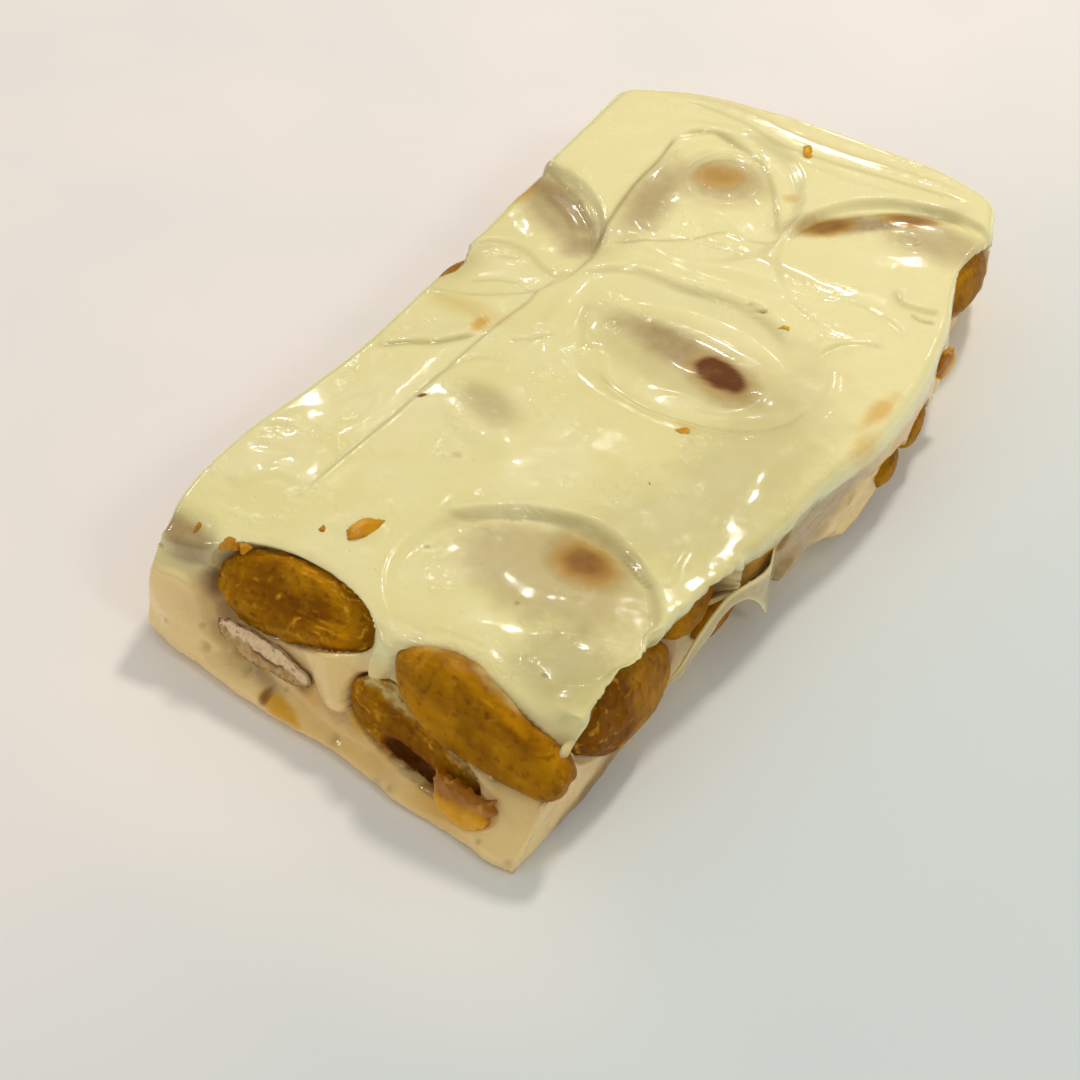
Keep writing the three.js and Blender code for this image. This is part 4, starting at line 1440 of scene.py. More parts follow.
    def tint(self, points: Array, w: Array) -> dict[str, Array]:
        """Works out what shows through the surface, and where shade is painted.

        Args:
            points: the skin's vertices.
            w: the share of each vertex's height, 1 on the top.

        Returns:
            The attributes brown, grey, amber, shade and cut, one value for each vertex.
        """
        x, y, z = points.T
        rough = Noise(41, 1.6, 3).at(points)
        values = {tint.value: np.zeros_like(x) for tint in Tint}
        i, j, _ = self.cells.T
        below = smooth((1 - w) * 10)
        for spots, first, second, where in (
                (TOP_SPOTS, x, y, smooth((w - 0.9) / 0.1)),
                (END_SPOTS, x, z, (j == 0) * smooth((1 - w) * 8)),
                (FLANK_SPOTS, y, z, (i == self.across) * below),
                (LEFT_SPOTS, y, z, (i == 0) * below),
                (FAR_SPOTS, x, z, (j == self.lengthwise) * below)):
            for spot in spots:
                strength = spot.strength(first, second, rough) * where
                values[spot.tint.value] = np.maximum(values[spot.tint.value], strength)
        for almond in ALMONDS:
            values["brown"] = np.maximum(values["brown"], 0.85 * almond.showing(points))
            values["grey"] = np.maximum(values["grey"], 0.5 * almond.nearness(points, 0.8))
        values["cut"] = 1 - smooth((w - 0.75) / 0.25)
        return values


# ---------------------------------------------------------------- chips, crumbs and skirt


@dataclass(frozen=True)
class Chip:
    """A flat broken piece of almond: outline points about its middle, and a thickness."""

    name: str
    at: Triple
    along: Triple
    facing: Triple
    thick: float
    outline: tuple[Pair, ...]
    seed: int = 1
    rows: int = 64
    columns: int = 180

    def axes(self) -> Array:
        """Works out the chip's own axes.

        Returns:
            The rows along, up and out.
        """
        along = unit(np.array(self.along, float))
        right = unit(np.cross(along, np.array(self.facing, float)))
        return np.stack([along, -right, np.cross(right, along)])

    def clear_bed(self, points: Array) -> Array:
        """Pushes the nougat under the chip where it lies before it.

        Args:
            points: the nougat's vertices.

        Returns:
            The moved vertices.
        """
        local = (points - np.array(self.at)) @ self.axes().T
        reach = Oval((0, 0), (self.span() * 0.98, self.span() * 0.5)).radius(local[:, 0], local[:, 1])
        ahead = (local[:, 2] > -self.thick) & (local[:, 2] < 6)
        share = (1 - smooth((reach - 0.8) / 0.25)) * ahead
        return points - (share * (local[:, 2] + self.thick * 0.45))[:, None] * self.axes()[2]

    def span(self) -> float:
        """Returns the largest distance from the middle to the outline."""
        return float(np.hypot(*np.array(self.outline).T).max())

    def build(self) -> bpy.types.Object:
        """Makes the chip: its outline shrinks to a pole in front and behind, with a blunt edge.

        Latitude runs from the front pole to the back one. The outline's share is the sine of
        latitude to a small power and the height its cosine to a small power, so the faces are
        flat and the edge is tight; noise roughens both.

        Returns:
            The new object.
        """
        corners = np.array(self.outline + self.outline[:1])
        step = np.linspace(0, 1, self.columns, endpoint=False)
        lengths = np.concatenate([[0], np.cumsum(np.hypot(*np.diff(corners, axis=0).T))])
        edge = np.stack([np.interp(step * lengths[-1], lengths, corners[:, axis]) for axis in (0, 1)], -1)
        latitude = np.linspace(0, math.pi, self.rows + 2)[1:-1]
        share = np.sin(latitude) ** 0.45
        height = np.sign(np.cos(latitude)) * np.abs(np.cos(latitude)) ** 0.35 * self.thick / 2
        ring = np.concatenate([share[:, None, None] * edge[None],
                               np.broadcast_to(height[:, None, None], (self.rows, self.columns, 1))], -1)
        poles = [[0, 0, self.thick / 2], [0, 0, -self.thick / 2]]
        points = np.concatenate([ring.reshape(-1, 3), poles])
        rim = smooth((np.concatenate([np.repeat(share, self.columns), [0, 0]]) - 0.5) * 2)
        jag = Noise(self.seed, 0.7, 3).at(points * (1, 1, 0.2)) * rim
        points[:, :2] *= (1 + 0.12 * jag)[:, None]
        face = Noise(self.seed + 1, 1.6, 3).at(points)
        points[:, 2] += 0.2 * face
        gold = smooth(0.5 - points[:, 1] / self.span() * 2.2 + 0.5 * face)
        quads, caps = shell_faces(self.rows, self.columns)
        placed = points @ self.axes() + np.array(self.at)
        return make_piece(f"{self.name}_fine", placed, [quads, caps], (self.name,),
                          {"gold": gold, "light": smooth((face - 0.25) * 3)})


CHIPS = (
    Chip("chip_end", (15.2, -49.7, 4.0), (1, -0.04, 0.02), (0, -0.86, 0.5), 1.1,
         ((-3.3, 2.2), (-2.8, 1.8), (-2.2, 1.9), (-1.7, 1.6), (-1.1, 1.8), (-0.4, 1.4), (0.3, 1.65),
          (1, 1.3), (1.7, 1.5), (2.4, 1.3), (3.2, 1.9), (3.3, 0.5), (3, -1.1), (1.3, -2.1), (-0.6, -1.9),
          (-1.9, -1.5), (-2.8, -0.5), (-3.2, 0.9)), seed=51),
    Chip("chip_right", (28, 22.6, 8.2), (0, 0.95, 0.3), (0.95, 0, 0.3), 1.0,
         ((-1.8, 0.7), (-0.6, 1), (0.4, 1.1), (1.8, 0.6), (1.7, -0.3), (1.4, -0.9), (-0.5, -1),
          (-1.7, -0.6)), seed=52, rows=40, columns=90),
)


@dataclass(frozen=True)
class Crumb:
    """A crumb of almond: place on the top, half sizes, turn, gold share and height over the top."""

    at: Pair
    half: Triple
    turn: float
    gold: float
    proud: float = 0.2


@dataclass
class Crumbs:
    """All the crumbs that stand out of the nougat, as one joined mesh."""

    rows: int = 30
    columns: int = 40
    facets: int = 19
    crumbs: tuple[Crumb, ...] = (
        Crumb((-6.4, -34), (1.15, 2.8, 0.8), -14, 0.72, 0.35),
        Crumb((1.35, 41.7), (0.8, 1.6, 0.6), 26, 0.9, 0.3),
        Crumb((13.9, 12.9), (1.0, 0.6, 0.5), 20, 0.95, 0.25),
        Crumb((12.4, -6.4), (0.95, 0.65, 0.5), -10, 0.8, 0.2),
        Crumb((13.5, -14.5), (0.38, 0.65, 0.4), 10, 0.35, 0.15),
        Crumb((-9.3, -36.2), (0.5, 0.7, 0.5), 30, 0.3, 0.1),
        Crumb((-15.6, -42.3), (1.1, 0.7, 0.6), 10, 0.45, 0.2),
        Crumb((-14, -41.9), (0.6, 0.8, 0.5), -30, 0.5, 0.15),
        Crumb((-19.8, -41.4), (0.35, 0.9, 0.4), 10, 0.3, 0.1),
        Crumb((-12.1, -15.9), (0.5, 0.28, 0.3), 40, 0.0, 0.12),
    )

    def build(self) -> bpy.types.Object:
        """Makes the crumbs: a ball cut by random planes, roughened by noise.

        In each direction the radius is the least of plane offset over the cosine to its normal.
        Each crumb lies on the top's height at its place.

        Returns:
            The new object.
        """
        latitude = np.linspace(0, math.pi, self.rows + 2)[1:-1, None]
        longitude = np.linspace(0, 2 * math.pi, self.columns, endpoint=False)[None]
        ball = np.stack(np.broadcast_arrays(np.sin(latitude) * np.cos(longitude),
                                            np.sin(latitude) * np.sin(longitude), np.cos(latitude)), -1)
        ball = np.concatenate([ball.reshape(-1, 3), [[0, 0, 1], [0, 0, -1]]])
        quads, caps = shell_faces(self.rows, self.columns)
        random = np.random.default_rng(7)
        places, gold, quad_sets, cap_sets = [], [], [], []
        for number, crumb in enumerate(self.crumbs):
            planes = unit(random.normal(size=(self.facets, 3)))
            offsets = random.uniform(0.55, 0.98, self.facets)
            radius = np.minimum((offsets / np.maximum(ball @ planes.T, 0.05)).min(1), 1.15)
            jag = radius * (1 + 0.16 * Noise(90 + number, 0.4, 3).at(ball))
            angle = math.radians(crumb.turn)
            turned = np.array([[math.cos(angle), math.sin(angle), 0], [-math.sin(angle), math.cos(angle), 0],
                               [0, 0, 1]])
            x, y = crumb.at
            ground = NougatBody.top_height(np.array([x]), np.array([y]))[0]
            place = np.array([x, y, ground + crumb.proud - 0.85 * crumb.half[2]])
            places.append((ball * jag[:, None] * np.array(crumb.half)) @ turned + place)
            gold.append(crumb.gold + 0.3 * Noise(110 + number, 0.5, 2).at(ball))
            quad_sets.append(quads + number * len(ball))
            cap_sets.append(caps + number * len(ball))
        values = clamp(np.concatenate(gold))
        return make_piece("almond_crumbs", np.concatenate(places),
                          [np.concatenate(quad_sets), np.concatenate(cap_sets)], (),
                          {"gold": values, "light": smooth((values - 0.8) * 4)})


@dataclass(frozen=True)
class Curtain:
    """A thin hanging skin of nougat: stations of x, y, upper edge and lower edge."""

    name: str
    stations: tuple[tuple[float, float, float, float], ...]
    thick: float
    bead: float                  # how much thicker the lower edge is
    clear: float                 # how far it can be seen through
    seed: int
    rows: int = 300
    columns: int = 48
    flare: float = 0.02

    def build(self) -> bpy.types.Object:
        """Makes the curtain: a flat oval section whose edges follow the stations' curve.

        Round the section the height is the sine of the angle and the thickness its cosine to the
        power 0.6, thickened to a bead at the lower edge, which flares out with the square of the
        distance from the upper one. Noise wrinkles it, and the ends draw in as a circle does.

        Returns:
            The new object, with the opacity in the attribute veil.
        """
        share = np.linspace(0, 1, self.rows + 2)
        x, y, top, low = Spline(self.stations).at(share).T
        close = np.sqrt(np.maximum(1 - np.abs(2 * share - 1) ** 10, 0))
        angle = np.linspace(0, 2 * math.pi, self.columns, endpoint=False)
        height = (1 + np.sin(angle)) / 2
        edge = np.exp(-((height / 0.16) ** 2))
        width = np.sign(np.cos(angle)) * np.abs(np.cos(angle)) ** 0.6 * (self.thick + self.bead * edge)
        inner = slice(1, -1)
        middle, tall = (top + low)[inner, None] / 2, ((top - low) * close)[inner, None]
        ring = np.stack([x[inner, None] + width * close[inner, None] + self.flare * tall * (1 - height) ** 2,
                         y[inner, None] - 0.3 * width * close[inner, None],
                         middle + (height - 0.5) * tall], -1)
        points = np.concatenate([ring.reshape(-1, 3), np.stack([x, y, (top + low) / 2], -1)[[0, -1]]])
        points[:, 0] += 0.16 * Noise(self.seed, 2.2, 3).at(points * (0, 1, 0.5))
        points[:, 2] += 0.1 * Noise(self.seed + 1, 1.4, 2).at(points * (0, 1, 0.1))
        quads, caps = shell_faces(self.rows, self.columns)
        near_edge = np.exp(-(((1 - np.abs(2 * height - 1)) / 0.3) ** 2))
        rim = np.concatenate([np.tile(near_edge, self.rows), [1, 1]])
        streak = Noise(self.seed + 2, 0.8, 3).at(points * (0.3, 0.5, 1.0))
        veil = clamp(1 - self.clear * (1 - rim) + 0.5 * self.clear * streak)
        zero = np.zeros(len(points))
        return make_piece(self.name, points, [quads, caps], (),
                          {"brown": zero, "grey": (0.35 + self.clear) * (1 - rim), "amber": zero,
                           "shade": zero, "cut": zero + 0.4, "veil": veil})


SKIRT = Curtain("nougat_skirt", (
    (24.4, -3.4, 7.2, 4.4), (24.8, -5.6, 8.0, 4.7), (25.1, -7.6, 8.3, 4.9), (25.3, -9.4, 8.6, 4.8),
    (25.5, -11, 8.8, 4.7), (25.8, -12.1, 8.9, 4.4), (26.1, -12.9, 8.9, 3.4), (26.3, -13.6, 8.8, 2),
    (26.3, -14.4, 8.7, 3.1), (26.2, -15.5, 8.8, 5), (26.0, -17, 9.2, 6.9), (25.6, -18.6, 9.3, 7.7),
    (25.1, -20.4, 9, 7.3), (24.7, -22.4, 8, 6.1), (24.3, -24.4, 6.6, 4.8), (24.0, -26.2, 5.2, 3.7),
    (23.6, -27.6, 4.4, 3.1)), thick=0.24, bead=0.1, clear=0.12, seed=62)


# ---------------------------------------------------------------- materials


class Value:
    """A number socket of a node tree that Python's operators work on."""

    def __init__(self, recipe: Recipe, socket: bpy.types.NodeSocket) -> None:
        """Keeps the recipe that adds nodes, and the socket."""
        self.recipe = recipe
        self.socket = socket

    def _math(self, operation: str, first: Operand, second: Operand = 0.0) -> Value:
        """Returns the result of a Math node on two operands."""
        return self.recipe.add("ShaderNodeMath", {"operation": operation}, {0: first, 1: second})

    def __add__(self, other: Operand) -> Value:
        """Returns self + other."""
        return self._math("ADD", self, other)

    __radd__ = __add__

    def __sub__(self, other: Operand) -> Value:
        """Returns self - other."""
        return self._math("SUBTRACT", self, other)

    def __rsub__(self, other: Operand) -> Value:
        """Returns other - self."""
        return self._math("SUBTRACT", other, self)

    def __mul__(self, other: Operand) -> Value:
        """Returns self * other."""
        return self._math("MULTIPLY", self, other)

    __rmul__ = __mul__

    def held(self) -> Value:
        """Returns the value kept between 0 and 1."""
        return self.recipe.add("ShaderNodeClamp", {}, {"Value": self})

    def step(self, low: float, high: float) -> Value:
        """Returns the soft step of the value from low to high."""
        return self.recipe.add("ShaderNodeMapRange", {"interpolation_type": "SMOOTHSTEP"},
                               {"Value": self, "From Min": low, "From Max": high})


Operand = Value | float


def from_srgb(red: int, green: int, blue: int) -> tuple[float, float, float, float]:
    """Turns a display colour into a linear one with alpha 1.

    Args:
        red: 0 to 255.
        green: 0 to 255.
        blue: 0 to 255.

    Returns:
        The linear colour.
    """
    levels = np.array([red, green, blue]) / 255
    linear = np.where(levels <= 0.04045, levels / 12.92, ((levels + 0.055) / 1.055) ** 2.4)
    return (*(float(level) for level in linear), 1.0)


class Recipe:
    """A material's node tree, filled by calls that read as the finish is described."""

    def __init__(self, name: str) -> None:
        """Starts a material with an empty node tree.

        Args:
            name: the material's name.
        """
        self.material = bpy.data.materials.new(name)
        self.material.use_nodes = True
        self.tree = self.material.node_tree
        self.tree.nodes.clear()
        self.place = self.add("ShaderNodeTexCoord", {}, {}, "Object")

    def add(self, kind: str, settings: dict, sockets: dict, output: str | int = 0) -> Value:
        """Adds a node, sets it, then links or fills its sockets.

        Args:
            kind: the node's type.
            settings: properties of the node, set first.
            sockets: values or links, by input name or number.
            output: name or number of the output to return.

        Returns:
            The chosen output.
        """
        node = self.tree.nodes.new(kind)
        for key, value in settings.items():
            setattr(node, key, value)
        for key, value in sockets.items():
            socket = node.inputs[key]
            if isinstance(value, Value):
                self.tree.links.new(value.socket, socket)
            else:
                socket.default_value = value
        return Value(self, node.outputs[output])

    def scaled(self, size: float) -> Value:
        """Returns Object coordinates in units of `size` millimetres."""
        scale = (1 / (size * MM),) * 3
        return self.add("ShaderNodeMapping", {}, {"Vector": self.place, "Scale": scale})

    def noise(self, size: float, detail: float = 2.0, warp: float = 0.0) -> Value:
        """Returns noise from 0 to 1 with features of `size` millimetres, warped by itself."""
        return self.add("ShaderNodeTexNoise", {}, {"Vector": self.scaled(size), "Scale": 1.0,
                                                   "Detail": detail, "Distortion": warp})

    def pits(self, size: float) -> Value:
        """Returns the distance to the nearest of scattered points about `size` millimetres apart."""
        return self.add("ShaderNodeTexVoronoi", {}, {"Vector": self.scaled(size), "Scale": 1.0}, "Distance")

    def attribute(self, name: str) -> Value:
        """Returns a mesh attribute."""
        return self.add("ShaderNodeAttribute", {"attribute_name": name}, {}, "Fac")

    def blend(self, share: Operand, first: Value | tuple, second: Value | tuple) -> Value:
        """Mixes two colours.

        Args:
            share: 0 for the first, 1 for the second.
            first: a colour or a socket.
            second: a colour or a socket.

        Returns:
            The mixed colour.
        """
        node = self.tree.nodes.new("ShaderNodeMix")
        node.data_type = "RGBA"
        colour_inputs = [socket for socket in node.inputs if socket.type == "RGBA"]
        for socket, value in ((node.inputs[0], share), *zip(colour_inputs, (first, second))):
            if isinstance(value, Value):
                self.tree.links.new(value.socket, socket)
            else:
                socket.default_value = value
        return Value(self, next(socket for socket in node.outputs if socket.type == "RGBA"))

    def bump(self, height: Value, depth: float, before: Value | None = None) -> Value:
        """Bumps the surface.

        Args:
            height: the relief, from 0 to 1.
            depth: how high 1 is, in millimetres.
            before: the normal to add to.

        Returns:
            The new normal.
        """
        sockets = {"Height": height, "Distance": depth * MM, "Strength": 1.0}
        if before is not None:
            sockets["Normal"] = before
        return self.add("ShaderNodeBump", {}, sockets)

    def finish(self, sockets: dict) -> bpy.types.Material:
        """Closes the recipe with a Principled shader.

        Args:
            sockets: values or links of the shader, by input name.

        Returns:
            The material.
        """
        surface = self.add("ShaderNodeBsdfPrincipled", {}, sockets)
        output = self.tree.nodes.new("ShaderNodeOutputMaterial")
        self.tree.links.new(surface.socket, output.inputs["Surface"])
        return self.material


@dataclass(frozen=True)
class NougatFinish:
    """Soft whipped nougat: cream, wet and glossy, with what lies just under it showing, painted shade, and
    painted light on the far end.
    """

    cream: tuple = from_srgb(243, 233, 168)
    pale: tuple = from_srgb(247, 237, 180)
    cut: tuple = from_srgb(250, 217, 148)
    grey: tuple = from_srgb(160, 130, 88)
    painted_far_light: tuple = from_srgb(255, 244, 184)
    brown: tuple = from_srgb(114, 60, 0)
    amber: tuple = from_srgb(226, 168, 44)
    painted_shade: tuple = from_srgb(160, 148, 84)
    coat: float = 0.6
    depths: tuple[float, ...] = (0.1, 0.022, 0.16, 0.04)     # of swell, ripple, crinkle and holes
    thin: bool = False

    def make(self) -> bpy.types.Material:
        """Makes the material.

        Returns:
            The material, which reads the pieces' attributes.
        """
        recipe = Recipe("nougat_film" if self.thin else "nougat_cream")
        cloud = recipe.noise(9.0, 1.0)
        fine = recipe.noise(1.4, 3.0)
        body = recipe.blend(cloud.step(0.35, 0.7), self.cream, self.pale)
        # painted light: the far and right part of the top is made brighter, as if lit more
        away = recipe.add("ShaderNodeVectorMath", {"operation": "DOT_PRODUCT"},
                          {0: recipe.place, 1: (0.5, 0.87, 0.0)}, "Value")
        body = recipe.blend(away.step(-0.004, 0.02) * 0.9, body, self.painted_far_light)
        body = recipe.blend(recipe.attribute("cut"), body, self.cut)
        # grey, amber and brown of almonds under the skin, which in some spots are painted shade
        body = recipe.blend((recipe.attribute("grey") * (0.8 + 0.4 * fine)).held(), body, self.grey)
        body = recipe.blend((recipe.attribute("amber") * (0.7 + 0.6 * fine)).held(), body, self.amber)
        # painted shade: olive where the shade attribute marks creases, pits and less lit places
        body = recipe.blend(recipe.attribute("shade").held(), body, self.painted_shade)
        stained = recipe.attribute("brown")
        body = recipe.blend((stained * (0.8 + 0.4 * fine)).held(), body, self.brown)
        wet = recipe.noise(3.2, 2.0)
        rough = 0.15 + 0.17 * wet.step(0.35, 0.75) + 0.05 * recipe.attribute("cut") + 0.3 * stained
        swell = recipe.bump(recipe.noise(3.4, 1.0, warp=0.3), self.depths[0])
        ripple = recipe.bump(recipe.noise(1.1, 1.0, warp=0.5), self.depths[1], swell)
        lively = recipe.noise(7.0, 1.0).step(0.5, 0.66)
        crinkle = recipe.bump(recipe.noise(1.3, 2.0, warp=0.8) * lively, self.depths[2], ripple)
        holes = recipe.bump(recipe.pits(2.6).step(0.03, 0.12), self.depths[3], crinkle)
        sockets = {"Base Color": body, "Roughness": rough, "Normal": holes, "IOR": 1.46,
                   "Coat Weight": self.coat - self.coat * stained, "Coat Roughness": 0.08, "Coat IOR": 1.5}
        if self.thin:
            sockets["Alpha"] = recipe.attribute("veil")
        else:
            sockets |= {"Subsurface Weight": 0.12, "Subsurface Radius": (1.0, 0.8, 0.4),
                        "Subsurface Scale": 0.9 * MM}
        return recipe.finish(sockets)


@dataclass(frozen=True)
class AlmondFinish:
    """Roasted almond: amber to dark brown, with lengthwise streaks, lighter torn specks, a painted highlight
    on torn edges and painted shade in hollows.
    """

    amber: tuple = from_srgb(196, 136, 6)
    brown: tuple = from_srgb(124, 70, 0)
    deep: tuple = from_srgb(78, 34, 0)
    torn: tuple = from_srgb(226, 162, 40)
    film: tuple = from_srgb(240, 228, 156)
    glint: tuple = from_srgb(255, 214, 120)

    def make(self) -> bpy.types.Material:
        """Makes the material.

        Returns:
            The material, which reads the pieces' attributes.
        """
        recipe = Recipe("almond_roasted")
        fibre = recipe.noise(0.9, 4.0)
        patch = recipe.noise(3.4, 3.0)
        dark, film = recipe.attribute("dark"), recipe.attribute("film")
        body = recipe.blend(patch.step(0.3, 0.7) * 0.6, self.amber, self.brown)
        body = recipe.blend((dark * 0.85).held(), body, self.brown)
        # deep brown, which also paints the shade in hollows
        body = recipe.blend((dark - 0.9).step(0.0, 0.6), body, self.deep)
        body = recipe.blend(fibre.step(0.52, 0.75) * 0.5, body, self.deep)
        # lighter torn specks, and the painted highlight on the flakes' edges
        body = recipe.blend((recipe.attribute("light") * 0.85).held(), body, self.torn)
        body = recipe.blend(film, body, self.film)
        rough = 0.42 + 0.25 * fibre - 0.24 * film
        coarse = recipe.bump(fibre * (1 - film), 0.12)
        grain = recipe.bump(recipe.noise(0.3, 2.0) * (1 - film), 0.03, coarse)
        return recipe.finish({
            "Base Color": body, "Roughness": rough, "Normal": grain, "Specular IOR Level": 0.2,
            "Specular Tint": self.glint, "Coat Weight": 0.03 + 0.45 * film, "Coat Roughness": 0.1,
            "Subsurface Weight": 0.1, "Subsurface Radius": (1.0, 0.5, 0.1), "Subsurface Scale": 0.6 * MM,
        })


@dataclass(frozen=True)
class KernelFinish:
    """Cut almond kernel: pale and crumbly, with dark crevices."""

    pale: tuple = from_srgb(242, 212, 168)
    dull: tuple = from_srgb(190, 150, 84)
    crevice: tuple = from_srgb(104, 66, 22)

    def make(self) -> bpy.types.Material:
        """Makes the material.

        Returns:
            The material, which reads the pieces' attributes.
        """
        recipe = Recipe("almond_kernel")
        crumb = recipe.noise(0.5, 4.0)
        body = recipe.blend((recipe.attribute("light") + 0.5 * (crumb - 0.5)).held(), self.dull, self.pale)
        body = recipe.blend((recipe.attribute("dark") * 0.9).held(), body, self.crevice)
        return recipe.finish({
            "Base Color": body, "Roughness": 0.5 + 0.3 * crumb, "Normal": recipe.bump(crumb, 0.14),
            "Subsurface Weight": 0.2, "Subsurface Radius": (1.0, 0.7, 0.4), "Subsurface Scale": 0.5 * MM,
        })


@dataclass(frozen=True)
class ChipFinish:
    """A glossy amber chip of roasted almond, golden where it is thin."""

    brown: tuple = from_srgb(168, 104, 0)
    gold: tuple = from_srgb(232, 168, 10)
    pale: tuple = from_srgb(240, 200, 100)

    def make(self) -> bpy.types.Material:
        """Makes the material.

        Returns:
            The material, which reads the pieces' attributes.
        """
        recipe = Recipe("almond_chip")
        grain = recipe.noise(0.6, 3.0)
        body = recipe.blend(recipe.attribute("gold"), self.brown, self.gold)
        body = recipe.blend((recipe.attribute("light") * grain).held(), body, self.pale)
        return recipe.finish({
            "Base Color": body, "Roughness": 0.22 + 0.2 * grain, "Normal": recipe.bump(grain, 0.06),
            "Coat Weight": 0.25, "Coat Roughness": 0.08,
            "Subsurface Weight": 0.35, "Subsurface Radius": (1.0, 0.55, 0.15), "Subsurface Scale": 0.8 * MM,
        })


# ---------------------------------------------------------------- stage


@dataclass(frozen=True)
class Lamp:
    """An area lamp: direction to it, distance and size in metres, power and what it lights."""

    name: str
    toward: Triple
    distance: float
    size: float
    power: float
    colour: Triple = (1.0, 1.0, 1.0)
    diffuse: bool = True
    glossy: bool = True

    def build(self) -> None:
        """Hangs the lamp over the bar, facing it."""
        data = bpy.data.lights.new(self.name, "AREA")
        data.shape, data.size = "DISK", self.size
        data.energy, data.color = self.power, self.colour
        lamp = bpy.data.objects.new(self.name, data)
        direction = Vector(self.toward).normalized()
        lamp.location = direction * self.distance
        lamp.rotation_euler = direction.to_track_quat("Z", "Y").to_euler()
        lamp.visible_diffuse, lamp.visible_glossy = self.diffuse, self.glossy
        bpy.context.scene.collection.objects.link(lamp)


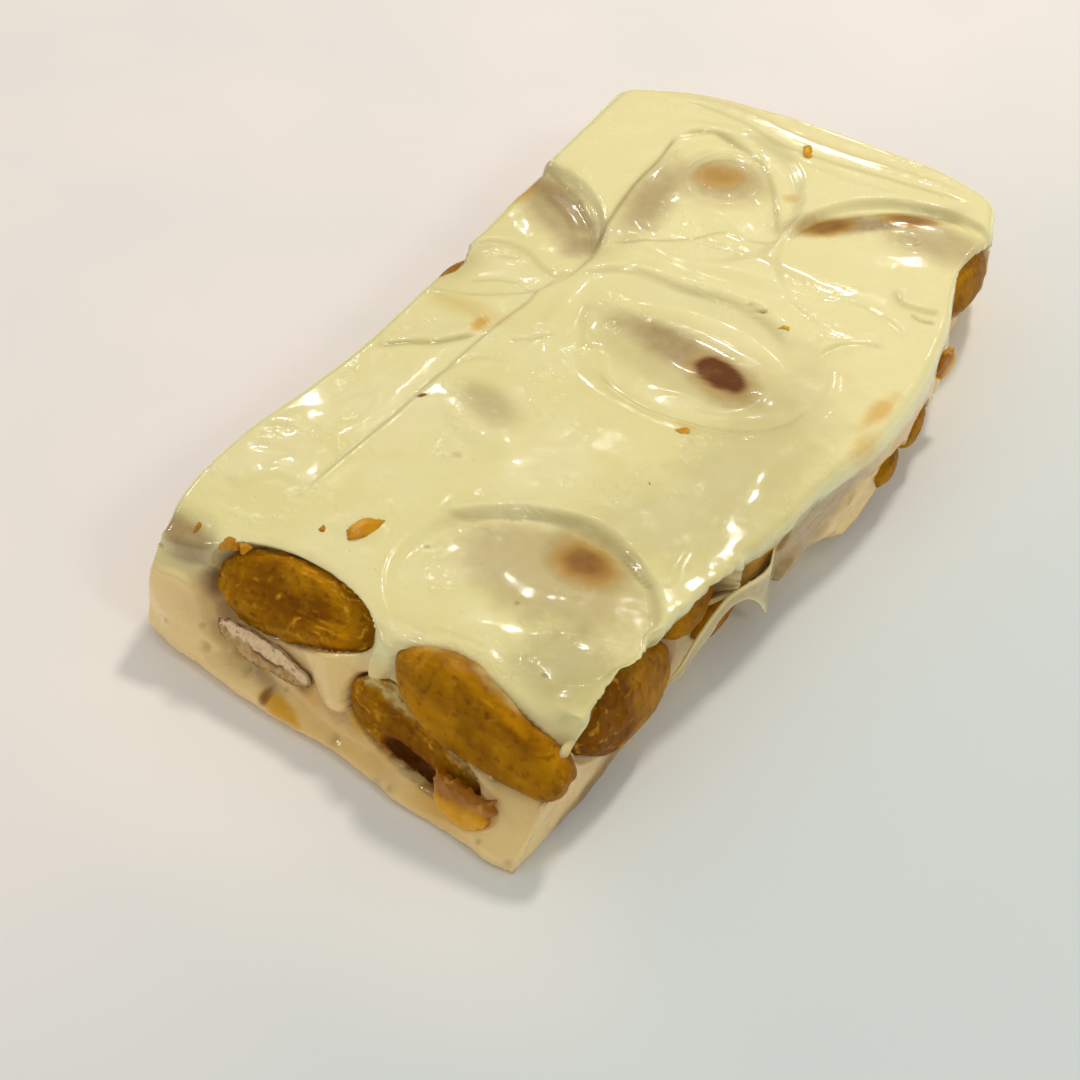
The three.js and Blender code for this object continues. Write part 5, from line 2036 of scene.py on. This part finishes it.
@dataclass(frozen=True)
class Stage:
    """The pale table, the soft light and the camera."""

    floor_size: float = 6.0
    # painted light: the table goes from a cool tone to a warm, brighter one towards the far left, with a
    # brighter painted pool before the near end
    floor_cool: tuple = from_srgb(219, 229, 230)
    floor_painted_light: tuple = from_srgb(249, 243, 240)
    floor_painted_pool: tuple = from_srgb(255, 250, 242)
    sky: tuple = from_srgb(240, 240, 236)
    sky_strength: float = 0.58
    glow_disks: int = 14
    glow_power: float = 0.118
    azimuth: float = 32.5
    elevation: float = 46.0
    distance: float = 204.44
    target: Triple = (1.62, -15.53, 0.0)
    lens: float = 66.667
    lamps: tuple[Lamp, ...] = (
        Lamp("key", (0.0, 0.51, 0.86), 0.5, 0.06, 0.93, (1.0, 0.9, 0.77), glossy=False),
        Lamp("side", (0.72, -0.1, 0.68), 0.7, 0.14, 0.45, (1.0, 0.93, 0.84), glossy=False),
        Lamp("front", (-0.35, -0.84, 0.45), 0.8, 0.4, 0.36, (1.0, 0.93, 0.84), glossy=False),
        Lamp("spark_mid", (-0.56, 0.56, 0.61), 1.2, 0.04, 0.25, diffuse=False),
        Lamp("spark_near_mid", (-0.16, 0.62, 0.77), 1.2, 0.04, 0.25, diffuse=False),
        Lamp("spark_flat", (-0.34, 0.57, 0.75), 1.2, 0.03, 0.12, diffuse=False),
        Lamp("spark_back", (-0.3, 0.88, 0.36), 1.2, 0.05, 0.3, diffuse=False),
        Lamp("spark_left", (-0.78, 0.36, 0.5), 1.2, 0.08, 0.8, diffuse=False),
        Lamp("spark_right", (0.25, 0.78, 0.57), 1.2, 0.05, 0.28, diffuse=False),
        Lamp("spark_top", (-0.1, 0.12, 0.98), 1.2, 0.08, 0.7, diffuse=False),
        Lamp("spark_front", (0.3, -0.7, 0.65), 1.2, 0.08, 0.3, diffuse=False),
        Lamp("spark_near", (-0.84, -0.34, 0.42), 1.2, 0.08, 0.7, diffuse=False),
    )

    def glow(self) -> list[Lamp]:
        """Returns nested disks that stand together for one large lamp whose edge fades away.

        Each disk's power goes with its size squared, so all are equally bright.
        """
        return [Lamp(f"glow_{number}", (-0.19, 0.83, 0.525), 1.0, size, self.glow_power * size**2,
                     (1.0, 0.82, 0.58), diffuse=False)
                for number, size in enumerate(np.linspace(0.12, 1.0, self.glow_disks).tolist())]

    def floor(self) -> None:
        """Lays the table top: a pale sheet with painted light, warmer and brighter towards the far left, a
        painted pool of light before the near end, and a random mottle.
        """
        half = self.floor_size / 2
        mesh = bpy.data.meshes.new("table_top")
        mesh.from_pydata([(-half, -half, 0), (half, -half, 0), (half, half, 0), (-half, half, 0)], [],
                         [(0, 1, 2, 3)])
        table = bpy.data.objects.new("table_top", mesh)
        bpy.context.scene.collection.objects.link(table)
        recipe = Recipe("table_pale")
        # painted light: warmer and brighter towards the far left
        light_slant = recipe.add("ShaderNodeVectorMath", {"operation": "DOT_PRODUCT"},
                           {0: recipe.place, 1: (-0.966, 0.214, 0.0)}, "Value")
        tone = recipe.blend(light_slant.step(-0.06, 0.03), self.floor_cool, self.floor_painted_light)
        # painted pool of light before the near end
        local = recipe.add("ShaderNodeMapping", {"vector_type": "TEXTURE"}, {
            "Vector": recipe.place, "Location": (-0.006, -0.054, 0.0), "Scale": (0.04, 0.013, 1.0),
            "Rotation": (0.0, 0.0, -0.1)})
        apart = recipe.add("ShaderNodeVectorMath", {"operation": "LENGTH"}, {0: local}, "Value")
        tone = recipe.blend((1.0 - apart.step(0.3, 1.4)) * 0.5, tone, self.floor_painted_pool)
        mottle = recipe.noise(30.0, 2.0)
        tone = recipe.blend(mottle.step(0.3, 0.8) * 0.2, tone, self.floor_cool)
        mesh.materials.append(recipe.finish({"Base Color": tone, "Roughness": 0.65,
                                             "Specular IOR Level": 0.2}))

    def camera(self) -> None:
        """Sets the camera round its target, and looks at it."""
        azimuth, elevation = math.radians(self.azimuth), math.radians(self.elevation)
        back = Vector((math.sin(azimuth) * math.cos(elevation), -math.cos(azimuth) * math.cos(elevation),
                       math.sin(elevation)))
        target = Vector(to_frame(np.array([self.target]))[0])
        data = bpy.data.cameras.new("camera")
        data.lens, data.sensor_width = self.lens, 36.0
        data.clip_start, data.clip_end = 0.01, 20.0
        camera = bpy.data.objects.new("camera", data)
        camera.location = target + back * self.distance * MM
        camera.rotation_euler = back.to_track_quat("Z", "Y").to_euler()
        bpy.context.scene.collection.objects.link(camera)
        bpy.context.scene.camera = camera

    def build(self) -> None:
        """Makes the table, the sky, the lamps and the camera."""
        world = bpy.data.worlds.new("studio")
        world.use_nodes = True
        background = world.node_tree.nodes["Background"]
        background.inputs["Color"].default_value = self.sky
        background.inputs["Strength"].default_value = self.sky_strength
        world.cycles_visibility.glossy = False
        scene = bpy.context.scene
        scene.world = world
        scene.view_settings.view_transform = "Standard"
        self.floor()
        self.camera()
        for lamp in (*self.lamps, *self.glow()):
            lamp.build()


# ---------------------------------------------------------------- assembly


def slab_shift() -> Array:
    """Works out the move from the slab's axes to the frame.

    The lowest corner of the nougat's node in the frame, less that of its outlines on the slab's
    axes.

    Returns:
        The move in millimetres.
    """
    share = np.linspace(0, 1, 400)
    edges = np.concatenate([edge.at(share) for outline in (RIM, FOOT)
                            for edge in (outline.near, outline.far, outline.left, outline.right)])
    low = np.array(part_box("nougat")[0])[:2] / MM
    return np.array([*(low - edges.min(0)), 0.0])


SLAB_SHIFT = slab_shift()


def dress(piece: bpy.types.Object, material: bpy.types.Material) -> None:
    """Gives a piece its material and reports it."""
    piece.data.materials.append(material)
    LOG.info("%s: %d faces, %s", piece.name, len(piece.data.polygons), material.name)


def main() -> None:
    """Builds the pieces in order and reports each of them."""
    logging.basicConfig(level=logging.INFO, format="%(name)s %(message)s")
    Stage().build()
    nougat, chip = NougatFinish().make(), ChipFinish().make()
    almond_finishes = {Face.KERNEL: KernelFinish().make()}
    roasted = AlmondFinish().make()
    dress(NougatBody().build(), nougat)
    for almond in ALMONDS:
        dress(almond.build(HOLLOWS.get(almond.name, ())), almond_finishes.get(almond.face, roasted))
    for piece in CHIPS:
        dress(piece.build(), chip)
    dress(Crumbs().build(), chip)
    dress(SKIRT.build(), NougatFinish(thin=True).make())


if __name__ == "__main__":
    main()
